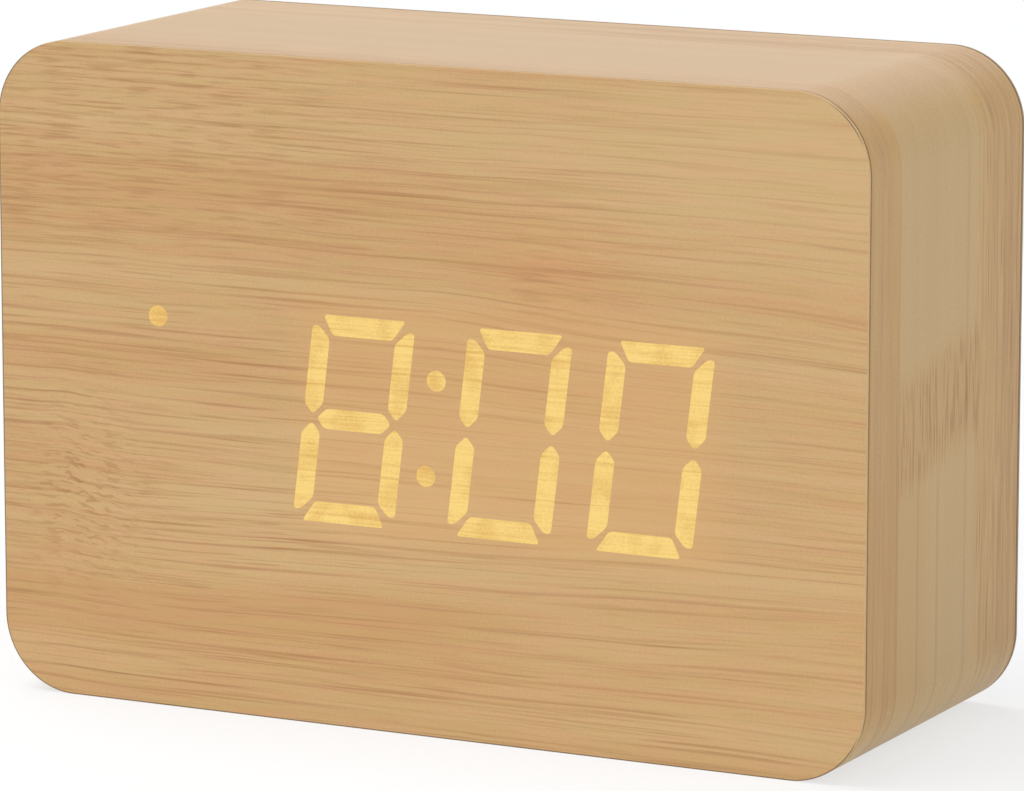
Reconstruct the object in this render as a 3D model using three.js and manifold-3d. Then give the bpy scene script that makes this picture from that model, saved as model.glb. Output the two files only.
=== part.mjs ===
// A wooden digital alarm clock: a small block of fibreboard wrapped in bamboo-print film, whose
// display shines through the front, with a black plastic back that holds buttons and batteries.
// Units are millimetres. X runs along the width, Y from the front face to the back, Z up from the
// table. The origin is the middle of the underside, and the front face looks along -Y.
import * as THREE from "three";
import { mergeVertices } from "three/addons/utils/BufferGeometryUtils.js";
import Module from "manifold-3d";

const wasm = await Module();
wasm.setup();

// The whole clock
const clockWidth = 100;
const clockHeight = 70;
const clockDepth = 40;
const cornerRadius = 8.2;
const fitGap = 0.3; // between parts that are assembled loosely
const cutOverrun = 1; // how far a cutter passes the face that it cuts
const joinDepth = 0.2; // how far two bodies of one moulding run into each other
const samePoint = 1e-5; // two points of an outline closer than this are one
const arcSteps = 8; // steps in a quarter turn of a large arc
const smallArcSteps = 3;
const holeSteps = 4;

// Case
const filmThickness = 0.4;
const glueGap = 0.05; // the layer of adhesive under the film
const panelThickness = 2.5;
const wallThickness = 6.5;
const cornerPostSide = 8.5;
const rebateWidth = 2.45; // the step in the frame that the back cover sits on
const rebateCornerRadius = 4;

// Digits: four slanted seven-segment figures with a colon between the pairs
const digitWidth = 11.9;
const digitHeight = 21.9;
const digitPitch = 15.95;
const colonPitch = 18; // between the two digits beside the colon
const digitSlantShare = 0.123;
const digitsAside = 1.3; // the row of digits lies this far right of the middle
const digitsBelow = 2.5; // and this far below it
const segmentWidth = 2.15;
const barTipInset = 1.15; // from the digit's side to the tip of the top bar
const barMitreGap = 0.3;
const uprightTipInset = 1.2; // from the digit's top to the tip of an upright
const uprightTipWidth = 0.8;
const uprightMitreGap = 0.4;
const uprightPointGap = 0.4; // from the middle line to the point of an upright
const uprightShoulder = 1.55;
const middleTipInset = 1.6;
const middleFlatInset = 2.65;
const colonDotRadius = 1.1;
const colonDotRise = 5.03; // each dot above or below the middle line
const alarmDotRadius = 1.2;
const alarmDotLeft = 7.22; // left of the first digit's middle
const alarmDotRise = 9.23;

// Light guides, mask and display board
const windowGap = 0.05; // round a light guide where it meets the film
const channelGap = 0.15; // round it in the panel and the mask
const maskWidth = 76;
const maskHeight = 33;
const maskDepth = 4;
const maskCornerRadius = 2;
const webThickness = 0.6;
const webMargin = 0.3; // the web behind a digit reaches this far past its segments
const dotWebMargin = 0.4;
const unlitInset = 0.05;
const ledHeight = 0.6;
const ledLength = 1.6;
const ledWidth = 0.8;
const boardThickness = 1.2;
const boardWidth = 76;
const boardHeight = 34;
const boardCornerRadius = 1;
const boardScrewInsetX = 2.5;
const boardScrewInsetZ = 2.5;
const standoffRadius = 2.2;

// Small screws that hold the two boards
const smallShankRadius = 0.8;
const smallHeadRadius = 1.9;
const smallHeadHeight = 1.2;
const smallHeadEdge = 0.3;
const smallScrewLength = 4.6;
const smallRecessWidth = 0.5;
const smallRecessDepth = 0.6;
const smallScrewSides = 8;
const recessShare = 0.66; // the cross recess reaches this share of a head's width

// Parts on the back of the display board
const chipWidth = 10.3;
const chipHeight = 7.5;
const chipDepth = 2.35;
const chipStandOff = 0.2;
const chipPinCount = 8;
const chipPinPitch = 1.27;
const chipPinWidth = 0.45;
const chipPinReach = 1.4;
const chipPinThickness = 0.45;
const chipX = 6;
const crystalWidth = 11;
const crystalHeight = 4.6;
const crystalDepth = 3.5;
const crystalX = 20;
const capacitorRadius = 3.15;
const capacitorDepth = 7;
const capacitorGroove = 0.35;
const capacitorX = -8;
const buzzerRadius = 6;
const buzzerDepth = 6.5;
const buzzerHoleRadius = 1;
const buzzerHoleDepth = 2;
const buzzerX = -24;

// Back cover, its battery tray and its holes
const coverThickness = 2.2;
const coverRecess = 0.9;
const trayWall = 1.2;
const trayFloorGap = 0.3;
const collarWidth = 1.2;
const collarDepth = 1.8;
const cellRimGap = 0.4; // from the outermost cells to the tray walls
const bossRadius = 2.3;
const soundHoleRadius = 0.6;
const soundHoleRing = 2.4;
const soundHoleCount = 6;
const soundHolesX = -36;
const microphoneHoleRadius = 0.8;

// Cover screws
const coverShankRadius = 1.25;
const coverHeadRadius = 2.4;
const coverHeadHeight = 0.9;
const coverHeadEdge = 0.4;
const coverScrewLength = 10;
const coverRecessWidth = 0.7;
const coverRecessDepth = 0.6;
const coverScrewSides = 16;
const coverHeadSeat = 1; // depth of the pocket for the head

// Battery cells and contacts
const cellRadius = 5.2;
const cellLength = 44.5;
const cellGap = 0.6;
const nubRadius = 1.8;
const nubLength = 0.9;
const cellEdge = 0.4;
const contactThickness = 0.5;
const contactHalfWidth = 4.3;
const springRoom = 5.9; // from the plate to a cell's flat end, less the contact gap
const contactGap = 0.3;
const springWireRadius = 0.3;
const springBaseRadius = 3.6;
const springTipRadius = 2.4;
const springTurns = 4;
const springStepsPerTurn = 8;
const springWireSides = 5;
const tabWidth = 3;
const tabReach = 3; // past the tray's end wall

// Battery door
const doorThickness = 1.5;
const doorMargin = 1.3; // past the tray's inside on the two sides and the top
const tongueReach = 2.25; // below the hinge axis
const tongueWidth = 8;
const tongueThickness = 1;
const tongueX = 16;
const tongueRootRise = 1;
const tongueRootFall = 0.2;
const latchWidth = 12;
const latchLength = 8;
const latchSlot = 0.8;
const ribHeight = 0.3;
const ribWidth = 0.7;
const ribPitch = 1.5;
const ribCount = 3;
const ribLength = 9;

// Push buttons, their switches and the board that carries them
const buttonPitch = 12;
const capRadius = 3.3;
const capProud = 0.8;
const capEdge = 0.4;
const capFlangeRadius = 4.4;
const capFlangeThickness = 0.9;
const capFlangeGap = 0.2;
const capPostRadius = 1.6;
const capPostLength = 1.3;
const buttonTravel = 0.5;
const switchSide = 6;
const switchHeight = 3.5;
const switchBoreRadius = 2;
const plungerRadius = 1.7;
const plungerProud = 1.1;
const plungerSunk = 1.5;
const plungerFloorGap = 0.2; // left under the plunger when it is pressed
const switchLegWidth = 0.7;
const switchLegReach = 1;
const switchLegThickness = 0.3;
const switchLegSpan = 4.5;
const buttonBoardWidth = 59;
const buttonBoardScrewX = 26.5;
const buttonBoardMargin = 1.2; // to the tray below and the frame above
const microphoneRadius = 3;
const microphoneDepth = 2.5;
const microphoneRimWidth = 0.5;
const microphoneRimDepth = 0.3;
const microphoneX = 19.8;

// Power inlet: a 3.5 mm socket with a 1.35 mm pin
const jackSide = 8;
const jackDepth = 9.5;
const jackSnoutRadius = 3;
const jackBoreRadius = 1.8;
const jackBoreDepth = 9;
const jackPinRadius = 0.65;
const jackPinInset = 1.6;
const jackX = 35.2;
const jackDrop = 0.64; // below the middle of the battery bay
const lugWidth = 2;
const lugReach = 2;
const lugThickness = 0.5;
const lugOffset = 1.4;

// Wires inside
const leadRadius = 0.7;
const leadGap = 0.3;
const leadSteps = 14;
const leadSides = 8;
const leadSidePull = 4;
const leadRearPull = 12;
const leadFrontPull = 5;
const leadEndX = 32.6;
const leadDrift = 3.4; // how far a battery lead bends away from the power inlet
const ribbonWidth = 9;
const ribbonThickness = 0.9;
const ribbonSteps = 12;
const ribbonPull = 8;
const ribbonStartDrop = 2;
const ribbonEndDrop = 3;

// Places worked out from the sizes above
const frontY = -clockDepth / 2;
const rearY = clockDepth / 2;
const middleZ = clockHeight / 2;
const caseInset = filmThickness + glueGap;
const panelFrontY = frontY + caseInset;
const frameFrontY = panelFrontY + panelThickness;
const frameRearY = rearY - caseInset;
const cavityHalfWidth = clockWidth / 2 - caseInset - wallThickness;
const cavityHalfHeight = clockHeight / 2 - caseInset - wallThickness;
const cavityBottomZ = middleZ - cavityHalfHeight;
const cavityTopZ = middleZ + cavityHalfHeight;
const rebateHalfWidth = cavityHalfWidth + rebateWidth;
const rebateHalfHeight = cavityHalfHeight + rebateWidth;
const coverRearY = rearY - coverRecess;
const coverFrontY = coverRearY - coverThickness;
const coverScrewX = cavityHalfWidth - cornerPostSide / 2;
const coverScrewRise = cavityHalfHeight - cornerPostSide / 2;
const coverScrewSeatY = coverRearY - coverHeadSeat;

const digitsZ = middleZ - digitsBelow;
const firstDigitX = digitsAside - colonPitch / 2 - digitPitch;
const digitX = [
  firstDigitX,
  digitsAside - colonPitch / 2,
  digitsAside + colonPitch / 2,
  digitsAside + colonPitch / 2 + digitPitch,
];
const maskRearY = frameFrontY + maskDepth;
const webRearY = maskRearY + webThickness;
const boardFrontY = webRearY + windowGap + ledHeight;
const boardRearY = boardFrontY + boardThickness;
const boardScrewX = Math.min(maskWidth, boardWidth) / 2 - boardScrewInsetX;
const boardScrewRise = Math.min(maskHeight, boardHeight) / 2 - boardScrewInsetZ;

const hingeY = coverRearY - doorThickness / 2;
const hingeZ = cavityBottomZ + fitGap + tongueReach;
const tongueNearY = doorThickness / 2 + fitGap; // in front of the axis
const tongueFarY = tongueNearY + tongueThickness;
const tongueSweep = Math.hypot(tongueFarY, tongueReach);
const bayHalfLength = (cellLength + springRoom) / 2 + contactGap + contactThickness;
const bayBottomZ = hingeZ + tongueSweep + fitGap + trayWall;
const cellPitch = 2 * cellRadius + cellGap;
const buttonRowHeight = 2 * (capFlangeRadius + buttonBoardMargin);
const cellRoom = cavityTopZ - buttonRowHeight - trayWall - bayBottomZ - 2 * cellRimGap;
const cellCount = Math.floor((cellRoom + cellGap) / cellPitch); // as many as fit under the buttons
const bayTopZ = bayBottomZ + 2 * cellRimGap + (cellCount - 1) * cellPitch + 2 * cellRadius;
const doorFrontY = coverRearY - doorThickness;
const trayRimY = doorFrontY - fitGap;
const cellY = trayRimY - cellRadius - cellRimGap / 2;
const bayFloorY = cellY - cellRadius - trayFloorGap;
const cellZ = Array.from(
  { length: cellCount },
  (_, row) => bayBottomZ + cellRimGap + cellRadius + row * cellPitch,
);
const doorHalfWidth = bayHalfLength + doorMargin;
const doorTopZ = bayTopZ + doorMargin;
const jackZ = (bayBottomZ + bayTopZ) / 2 - jackDrop;
const buttonZ = (bayTopZ + trayWall + cavityTopZ) / 2;
const buttonBoardHalfHeight = (cavityTopZ - bayTopZ - trayWall) / 2 - buttonBoardMargin;
const capFlangeRearY = coverFrontY - capFlangeGap;
const plungerTopY = capFlangeRearY - capFlangeThickness - capPostLength;
const buttonBoardRearY = plungerTopY - plungerProud - switchHeight;
const buttonBoardFrontY = buttonBoardRearY - boardThickness;
const switchBoreDepth = plungerSunk + buttonTravel + plungerFloorGap;

// Finishes: the name and colour, roughness and metalness of each material
const finishes = {
  film: [0xcca97b, 0.45, 0],
  wrap: [0xd0aa80, 0.45, 0],
  fibreboard: [0xa98a63, 0.85, 0],
  blackPlastic: [0x1d1d1f, 0.55, 0],
  buttonPlastic: [0x2a2a2d, 0.5, 0],
  mask: [0x242426, 0.7, 0],
  light: [0xf6cf73, 0.35, 0],
  board: [0x2c6a3f, 0.5, 0],
  chip: [0x232323, 0.6, 0],
  steel: [0xb9bcc0, 0.32, 0.9],
  nickel: [0xc9c6bd, 0.3, 0.9],
  capacitor: [0x262c4d, 0.4, 0],
  cell: [0x3d5f7c, 0.35, 0.2],
  red: [0xa62a26, 0.5, 0],
  black: [0x161616, 0.5, 0],
  ribbon: [0xc9c9c4, 0.55, 0],
};

function finish(name) {
  const [color, roughness, metalness] = finishes[name];
  return new THREE.MeshStandardMaterial({ name, color, roughness, metalness });
}

function piece(name, finishName, geometry) {
  const mesh = new THREE.Mesh(geometry, finish(finishName));
  mesh.name = name;
  return mesh;
}

// A closed geometry as a solid that can be joined and cut.
function solidOf(geometry) {
  const bare = new THREE.BufferGeometry().setAttribute("position", geometry.getAttribute("position"));
  if (geometry.index) bare.setIndex(geometry.index);
  const merged = mergeVertices(bare);
  return new wasm.Manifold(
    new wasm.Mesh({
      numProp: 3,
      vertProperties: new Float32Array(merged.getAttribute("position").array),
      triVerts: new Uint32Array(merged.index.array),
    }),
  );
}

function geometryOf(solid) {
  const mesh = solid.getMesh();
  const geometry = new THREE.BufferGeometry();
  geometry.setAttribute("position", new THREE.BufferAttribute(mesh.vertProperties, 3));
  geometry.setIndex(new THREE.BufferAttribute(mesh.triVerts, 1));
  geometry.computeVertexNormals();
  return geometry;
}

function join(first, ...others) {
  return geometryOf(others.reduce((sum, next) => sum.add(solidOf(next)), solidOf(first)));
}

function cut(body, ...tools) {
  return geometryOf(tools.reduce((rest, tool) => rest.subtract(solidOf(tool)), solidOf(body)));
}

// A shape drawn in (x, z) as a slab between two depths. Its two faces lie exactly at those depths.
function slab(shape, fromY, toY) {
  const geometry = new THREE.ExtrudeGeometry(shape, { depth: 1, bevelEnabled: false });
  const spot = geometry.getAttribute("position");
  for (let i = 0; i < spot.count; i += 1) {
    spot.setXYZ(i, spot.getX(i), spot.getZ(i) === 0 ? toY : fromY, spot.getY(i));
  }
  return geometry;
}

// A shape drawn in (y, z) as a bar between two places along X.
function bar(shape, fromX, toX) {
  const geometry = new THREE.ExtrudeGeometry(shape, { depth: 1, bevelEnabled: false });
  const spot = geometry.getAttribute("position");
  for (let i = 0; i < spot.count; i += 1) {
    spot.setXYZ(i, spot.getZ(i) === 0 ? fromX : toX, spot.getX(i), spot.getY(i));
  }
  return geometry;
}

// A closed outline through the points, without the ones that fall on their neighbour.
function polygon(points) {
  const kept = points.filter(([x, z], i) => {
    const [nextX, nextZ] = points[(i + 1) % points.length];
    return Math.hypot(nextX - x, nextZ - z) > samePoint;
  });
  return new THREE.Shape(kept.map(([x, z]) => new THREE.Vector2(x, z)));
}

function rectangle(lowX, highX, lowZ, highZ) {
  return polygon([
    [lowX, lowZ],
    [highX, lowZ],
    [highX, highZ],
    [lowX, highZ],
  ]);
}

// Points along an arc, in quarter turns counterclockwise from the right.
function arc(centreX, centreZ, radius, firstQuarter, lastQuarter, stepsPerQuarter) {
  const steps = Math.round((lastQuarter - firstQuarter) * stepsPerQuarter);
  return Array.from({ length: steps + 1 }, (_, i) => {
    const turn = ((firstQuarter + i / stepsPerQuarter) * Math.PI) / 2;
    return [centreX + radius * Math.cos(turn), centreZ + radius * Math.sin(turn)];
  });
}

function roundedRectangle(halfWidth, halfHeight, wantedRadius, centreX, centreZ, steps = arcSteps) {
  const radius = Math.min(wantedRadius, halfWidth, halfHeight);
  const right = centreX + halfWidth - radius;
  const left = centreX - halfWidth + radius;
  const top = centreZ + halfHeight - radius;
  const bottom = centreZ - halfHeight + radius;
  return polygon([
    ...arc(right, top, radius, 0, 1, steps),
    ...arc(left, top, radius, 1, 2, steps),
    ...arc(left, bottom, radius, 2, 3, steps),
    ...arc(right, bottom, radius, 3, 4, steps),
  ]);
}

function circle(centreX, centreZ, radius, steps = smallArcSteps) {
  return polygon(arc(centreX, centreZ, radius, 0, 4, steps));
}

function box(lowX, highX, lowY, highY, lowZ, highZ) {
  return slab(rectangle(lowX, highX, lowZ, highZ), lowY, highY);
}

function rod(centreX, centreZ, radius, fromY, toY, steps = smallArcSteps) {
  return slab(circle(centreX, centreZ, radius, steps), fromY, toY);
}

// A turned piece on the Y axis from [radius, y] points that start and end on that axis.
function turned(points, sides = 4 * holeSteps) {
  return new THREE.LatheGeometry(
    points.map(([radius, y]) => new THREE.Vector2(radius, y)),
    sides,
  );
}

// A slab with openings of the given outlines right through it.
function pierced(outline, openings, fromY, toY) {
  const cutters = openings.map((opening) => slab(opening, fromY - cutOverrun, toY + cutOverrun));
  return cut(slab(outline, fromY, toY), ...cutters);
}

// A convex outline, counterclockwise, moved outwards by a margin on every side.
function grown(points, margin) {
  const count = points.length;
  const edges = points.map(([x, z], i) => {
    const [nextX, nextZ] = points[(i + 1) % count];
    const length = Math.hypot(nextX - x, nextZ - z);
    const outX = (nextZ - z) / length;
    const outZ = (x - nextX) / length;
    return { outX, outZ, reach: outX * x + outZ * z + margin };
  });
  return edges.map((edge, i) => {
    const before = edges[(i + count - 1) % count];
    const turn = before.outX * edge.outZ - before.outZ * edge.outX;
    return [
      (before.reach * edge.outZ - edge.reach * before.outZ) / turn,
      (edge.reach * before.outX - before.reach * edge.outX) / turn,
    ];
  });
}

// The seven segments of an upright digit about its own middle, each counterclockwise.
const halfDigit = digitWidth / 2;
const halfFigure = digitHeight / 2;
const topBar = [
  [-(halfDigit - segmentWidth - barMitreGap), halfFigure - segmentWidth],
  [halfDigit - segmentWidth - barMitreGap, halfFigure - segmentWidth],
  [halfDigit - barTipInset, halfFigure],
  [-(halfDigit - barTipInset), halfFigure],
];
const upperLeft = [
  [-halfDigit, halfFigure - uprightTipInset],
  [-halfDigit, uprightShoulder],
  [-(halfDigit - segmentWidth / 2), uprightPointGap],
  [-(halfDigit - segmentWidth), uprightShoulder],
  [-(halfDigit - segmentWidth), halfFigure - segmentWidth - uprightMitreGap],
  [-(halfDigit - uprightTipWidth), halfFigure - uprightTipInset],
];
const middleBar = [
  [-(halfDigit - middleTipInset), 0],
  [-(halfDigit - middleFlatInset), -segmentWidth / 2],
  [halfDigit - middleFlatInset, -segmentWidth / 2],
  [halfDigit - middleTipInset, 0],
  [halfDigit - middleFlatInset, segmentWidth / 2],
  [-(halfDigit - middleFlatInset), segmentWidth / 2],
];

function mirrored(points, signX, signZ) {
  const moved = points.map(([x, z]) => [signX * x, signZ * z]);
  return signX * signZ < 0 ? moved.reverse() : moved;
}

const segments = {
  a: topBar,
  b: mirrored(upperLeft, -1, 1),
  c: mirrored(upperLeft, -1, -1),
  d: mirrored(topBar, 1, -1),
  e: mirrored(upperLeft, 1, -1),
  f: upperLeft,
  g: middleBar,
};

// Every segment and dot of the display as a counterclockwise outline on the front face.
const litSegments = ["", "abcdefg", "abcdef", "abcdef"];

function slanted(points, x) {
  return points.map(([alongX, alongZ]) => [x + alongX + digitSlantShare * alongZ, digitsZ + alongZ]);
}

function digitOutlines(digit, margin, onlyLit) {
  return Object.entries(segments)
    .filter(([letter]) => !onlyLit || litSegments[digit].includes(letter))
    .map(([, points]) => polygon(slanted(grown(points, margin), digitX[digit])));
}

const colonDots = [colonDotRise, -colonDotRise].map((rise) => ({
  x: digitsAside + digitSlantShare * rise,
  z: digitsZ + rise,
  radius: colonDotRadius,
}));
const alarmDot = { x: digitX[0] - alarmDotLeft, z: digitsZ + alarmDotRise, radius: alarmDotRadius };

function displayWindows(margin, onlyLit) {
  const dots = [...colonDots, alarmDot].map((dot) => circle(dot.x, dot.z, dot.radius + margin));
  return [...digitX.flatMap((_, digit) => digitOutlines(digit, margin, onlyLit)), ...dots];
}

// Case: the frame and the front panel are fibreboard, and the film is glued over them.
function caseOutline(inset) {
  return roundedRectangle(
    clockWidth / 2 - inset,
    clockHeight / 2 - inset,
    cornerRadius - inset,
    0,
    middleZ,
  );
}

function rebateOutline(inset) {
  return roundedRectangle(
    rebateHalfWidth - inset,
    rebateHalfHeight - inset,
    rebateCornerRadius - inset,
    0,
    middleZ,
  );
}

function frontFilm() {
  const windows = displayWindows(windowGap, true);
  return piece("front_film", "film", pierced(caseOutline(0), windows, frontY, frontY + filmThickness));
}

function sideFilm() {
  const band = pierced(caseOutline(0), [caseOutline(filmThickness)], panelFrontY, frameRearY);
  return piece("side_film", "wrap", band);
}

function rearFilm() {
  const ring = pierced(caseOutline(0), [rebateOutline(0)], rearY - filmThickness, rearY);
  return piece("rear_film", "wrap", ring);
}

function frontPanel() {
  const windows = displayWindows(channelGap, false);
  const board = pierced(caseOutline(caseInset), windows, panelFrontY, frameFrontY);
  return piece("front_panel", "fibreboard", board);
}

const coverScrewPlaces = [
  [-coverScrewX, middleZ - coverScrewRise],
  [coverScrewX, middleZ - coverScrewRise],
  [-coverScrewX, middleZ + coverScrewRise],
  [coverScrewX, middleZ + coverScrewRise],
];
const coverScrewTipY = coverScrewSeatY - coverScrewLength;

// A ring with a post in each inside corner for a cover screw, a step behind for the cover, and room
// in front for the mask and the display board.
function caseFrame() {
  const wide = cavityHalfWidth;
  const high = cavityHalfHeight;
  const insideX = wide - cornerPostSide;
  const insideZ = high - cornerPostSide;
  const cavity = polygon(
    [
      [-wide, -insideZ],
      [-insideX, -insideZ],
      [-insideX, -high],
      [insideX, -high],
      [insideX, -insideZ],
      [wide, -insideZ],
      [wide, insideZ],
      [insideX, insideZ],
      [insideX, high],
      [-insideX, high],
      [-insideX, insideZ],
      [-wide, insideZ],
    ].map(([x, z]) => [x, middleZ + z]),
  );
  const ring = pierced(caseOutline(caseInset), [cavity], frameFrontY, frameRearY);
  const step = slab(rebateOutline(0), coverFrontY, frameRearY + cutOverrun);
  const displayHalfWidth = Math.max(maskWidth, boardWidth) / 2 + fitGap;
  const displayHalfHeight = Math.max(maskHeight, boardHeight) / 2 + fitGap;
  const displaySeat = box(
    -displayHalfWidth,
    displayHalfWidth,
    frameFrontY - cutOverrun,
    boardRearY + smallHeadHeight + fitGap,
    digitsZ - displayHalfHeight,
    digitsZ + displayHalfHeight,
  );
  const pilots = coverScrewPlaces.map(([x, z]) =>
    rod(x, z, coverShankRadius + fitGap, coverScrewTipY - fitGap, coverFrontY + cutOverrun),
  );
  return piece("case_frame", "fibreboard", cut(ring, step, displaySeat, ...pilots));
}

// Display: a black mask with a channel for each segment, light guides in it, and the board behind.
const boardScrewPlaces = [
  [-boardScrewX, digitsZ - boardScrewRise],
  [boardScrewX, digitsZ - boardScrewRise],
  [-boardScrewX, digitsZ + boardScrewRise],
  [boardScrewX, digitsZ + boardScrewRise],
];
const smallHoleRadius = smallShankRadius + fitGap;

function segmentMask() {
  const outline = roundedRectangle(maskWidth / 2, maskHeight / 2, maskCornerRadius, 0, digitsZ);
  const plate = pierced(outline, displayWindows(channelGap, false), frameFrontY, maskRearY);
  const posts = boardScrewPlaces.map(([x, z]) =>
    rod(x, z, standoffRadius, maskRearY - joinDepth, boardFrontY),
  );
  const pilots = boardScrewPlaces.map(([x, z]) =>
    rod(x, z, smallHoleRadius, boardRearY - smallScrewLength - fitGap, boardFrontY + cutOverrun),
  );
  return piece("segment_mask", "mask", cut(join(plate, ...posts), ...pilots));
}

function displayBoard() {
  const outline = roundedRectangle(boardWidth / 2, boardHeight / 2, boardCornerRadius, 0, digitsZ);
  const holes = boardScrewPlaces.map(([x, z]) => circle(x, z, smallHoleRadius));
  const board = pierced(outline, holes, boardFrontY, boardRearY);
  const chipAt = (x, z, halfX, halfZ) =>
    box(x - halfX, x + halfX, boardFrontY - ledHeight, boardFrontY + joinDepth, z - halfZ, z + halfZ);
  const chips = digitX.flatMap((x) =>
    Object.entries(segments).map(([letter, points]) => {
      const middle = slanted(points, x).reduce(
        ([sumX, sumZ], [pointX, pointZ]) => [sumX + pointX / points.length, sumZ + pointZ / points.length],
        [0, 0],
      );
      const lies = "adg".includes(letter);
      return chipAt(...middle, (lies ? ledLength : ledWidth) / 2, (lies ? ledWidth : ledLength) / 2);
    }),
  );
  const dots = [...colonDots, alarmDot].map((dot) => chipAt(dot.x, dot.z, ledLength / 2, ledWidth / 2));
  return piece("display_board", "board", join(board, ...chips, ...dots));
}

// One light guide for each digit: a web behind the mask that carries a pad for every segment.
function digitLight(digit) {
  const halfX = halfDigit + webMargin;
  const halfZ = halfFigure + webMargin;
  const webOutline = slanted(
    [
      [-halfX, -halfZ],
      [halfX, -halfZ],
      [halfX, halfZ],
      [-halfX, halfZ],
    ],
    digitX[digit],
  );
  const web = slab(polygon(webOutline), maskRearY, webRearY);
  const pads = Object.entries(segments).map(([letter, points]) => {
    const endY = litSegments[digit].includes(letter) ? frontY : panelFrontY + unlitInset;
    return slab(polygon(slanted(points, digitX[digit])), endY, maskRearY + joinDepth);
  });
  return piece(`digit_light_${digit + 1}`, "light", join(web, ...pads));
}

function dotLight(name, dots) {
  const reach = Math.max(...dots.map((dot) => dot.radius)) + dotWebMargin;
  const lowest = dots.reduce((low, dot) => (dot.z < low.z ? dot : low));
  const highest = dots.reduce((high, dot) => (dot.z > high.z ? dot : high));
  const web = slab(
    polygon([
      [lowest.x - reach, lowest.z - reach],
      [lowest.x + reach, lowest.z - reach],
      [highest.x + reach, highest.z + reach],
      [highest.x - reach, highest.z + reach],
    ]),
    maskRearY,
    webRearY,
  );
  const pads = dots.map((dot) => rod(dot.x, dot.z, dot.radius, frontY, maskRearY + joinDepth));
  return piece(name, "light", join(web, ...pads));
}

// A pan-head screw with a cross recess whose head rests at y = 0 and whose shank runs towards -Y.
function screwGeometry(shankRadius, headRadius, headHeight, edge, length, slotWidth, slotDepth, sides) {
  const body = turned(
    [
      [0, -length],
      [shankRadius - edge, -length],
      [shankRadius, edge - length],
      [shankRadius, 0],
      [headRadius, 0],
      [headRadius, headHeight - edge],
      [headRadius - edge, headHeight],
      [0, headHeight],
    ],
    sides,
  );
  const arm = 2 * headRadius * recessShare;
  const slots = [
    [arm / 2, slotWidth / 2],
    [slotWidth / 2, arm / 2],
  ].map(([halfX, halfZ]) =>
    box(-halfX, halfX, headHeight - slotDepth, headHeight + cutOverrun, -halfZ, halfZ),
  );
  return cut(body, ...slots);
}

const smallScrew = screwGeometry(
  smallShankRadius,
  smallHeadRadius,
  smallHeadHeight,
  smallHeadEdge,
  smallScrewLength,
  smallRecessWidth,
  smallRecessDepth,
  smallScrewSides,
);

function boardScrews() {
  return boardScrewPlaces.map(([x, z], i) => {
    const screw = piece(`board_screw_${i + 1}`, "steel", smallScrew);
    screw.position.set(x, boardRearY, z);
    return screw;
  });
}

// Parts soldered to the back of the display board.
function clockChip() {
  const seatY = boardRearY + chipStandOff;
  const body = box(
    chipX - chipWidth / 2,
    chipX + chipWidth / 2,
    seatY,
    seatY + chipDepth,
    digitsZ - chipHeight / 2,
    digitsZ + chipHeight / 2,
  );
  const pins = Array.from({ length: chipPinCount }, (_, i) => {
    const x = chipX + (i - (chipPinCount - 1) / 2) * chipPinPitch;
    const halfReach = chipHeight / 2 + chipPinReach;
    return [
      [-halfReach, joinDepth - chipHeight / 2],
      [chipHeight / 2 - joinDepth, halfReach],
    ].map(([low, high]) =>
      box(
        x - chipPinWidth / 2,
        x + chipPinWidth / 2,
        boardRearY,
        boardRearY + chipPinThickness,
        digitsZ + low,
        digitsZ + high,
      ),
    );
  });
  return piece("clock_chip", "chip", join(body, ...pins.flat()));
}

function crystalCan() {
  const half = crystalHeight / 2;
  const outline = roundedRectangle(crystalWidth / 2, half, half, crystalX, digitsZ, smallArcSteps);
  return piece("crystal_can", "steel", slab(outline, boardRearY, boardRearY + crystalDepth));
}

function capacitor() {
  const can = piece(
    "capacitor",
    "capacitor",
    turned([
      [0, 0],
      [capacitorRadius, 0],
      [capacitorRadius, 2 * capacitorGroove],
      [capacitorRadius - capacitorGroove, 3 * capacitorGroove],
      [capacitorRadius, 4 * capacitorGroove],
      [capacitorRadius, capacitorDepth - capacitorGroove],
      [capacitorRadius - capacitorGroove, capacitorDepth],
      [0, capacitorDepth],
    ]),
  );
  can.position.set(capacitorX, boardRearY, digitsZ);
  return can;
}

function buzzer() {
  const can = piece(
    "buzzer",
    "chip",
    turned([
      [0, 0],
      [buzzerRadius, 0],
      [buzzerRadius, buzzerDepth],
      [buzzerHoleRadius, buzzerDepth],
      [buzzerHoleRadius, buzzerDepth - buzzerHoleDepth],
      [0, buzzerDepth - buzzerHoleDepth],
    ]),
  );
  can.position.set(buzzerX, boardRearY, digitsZ);
  return can;
}

// Back cover: one black moulding of the plate, the battery tray and two bosses.
const coverHoleRadius = coverShankRadius + fitGap;
const doorLipZ = hingeZ - doorThickness / 2 - fitGap;
const buttonX = { set_button: buttonPitch, up_button: 0, down_button: -buttonPitch };
const bossTipY = buttonBoardRearY + smallScrewLength - boardThickness + fitGap;
const lastCell = cellCount - 1;

// A cell's flat end, and the spring on it, lie on the left in even rows and on the right in odd ones.
const flatSide = (row) => (row % 2 === 0 ? -1 : 1);
const tabEnds = [
  { side: -flatSide(0), z: cellZ[0] },
  { side: flatSide(lastCell), z: cellZ[lastCell] },
];

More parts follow.
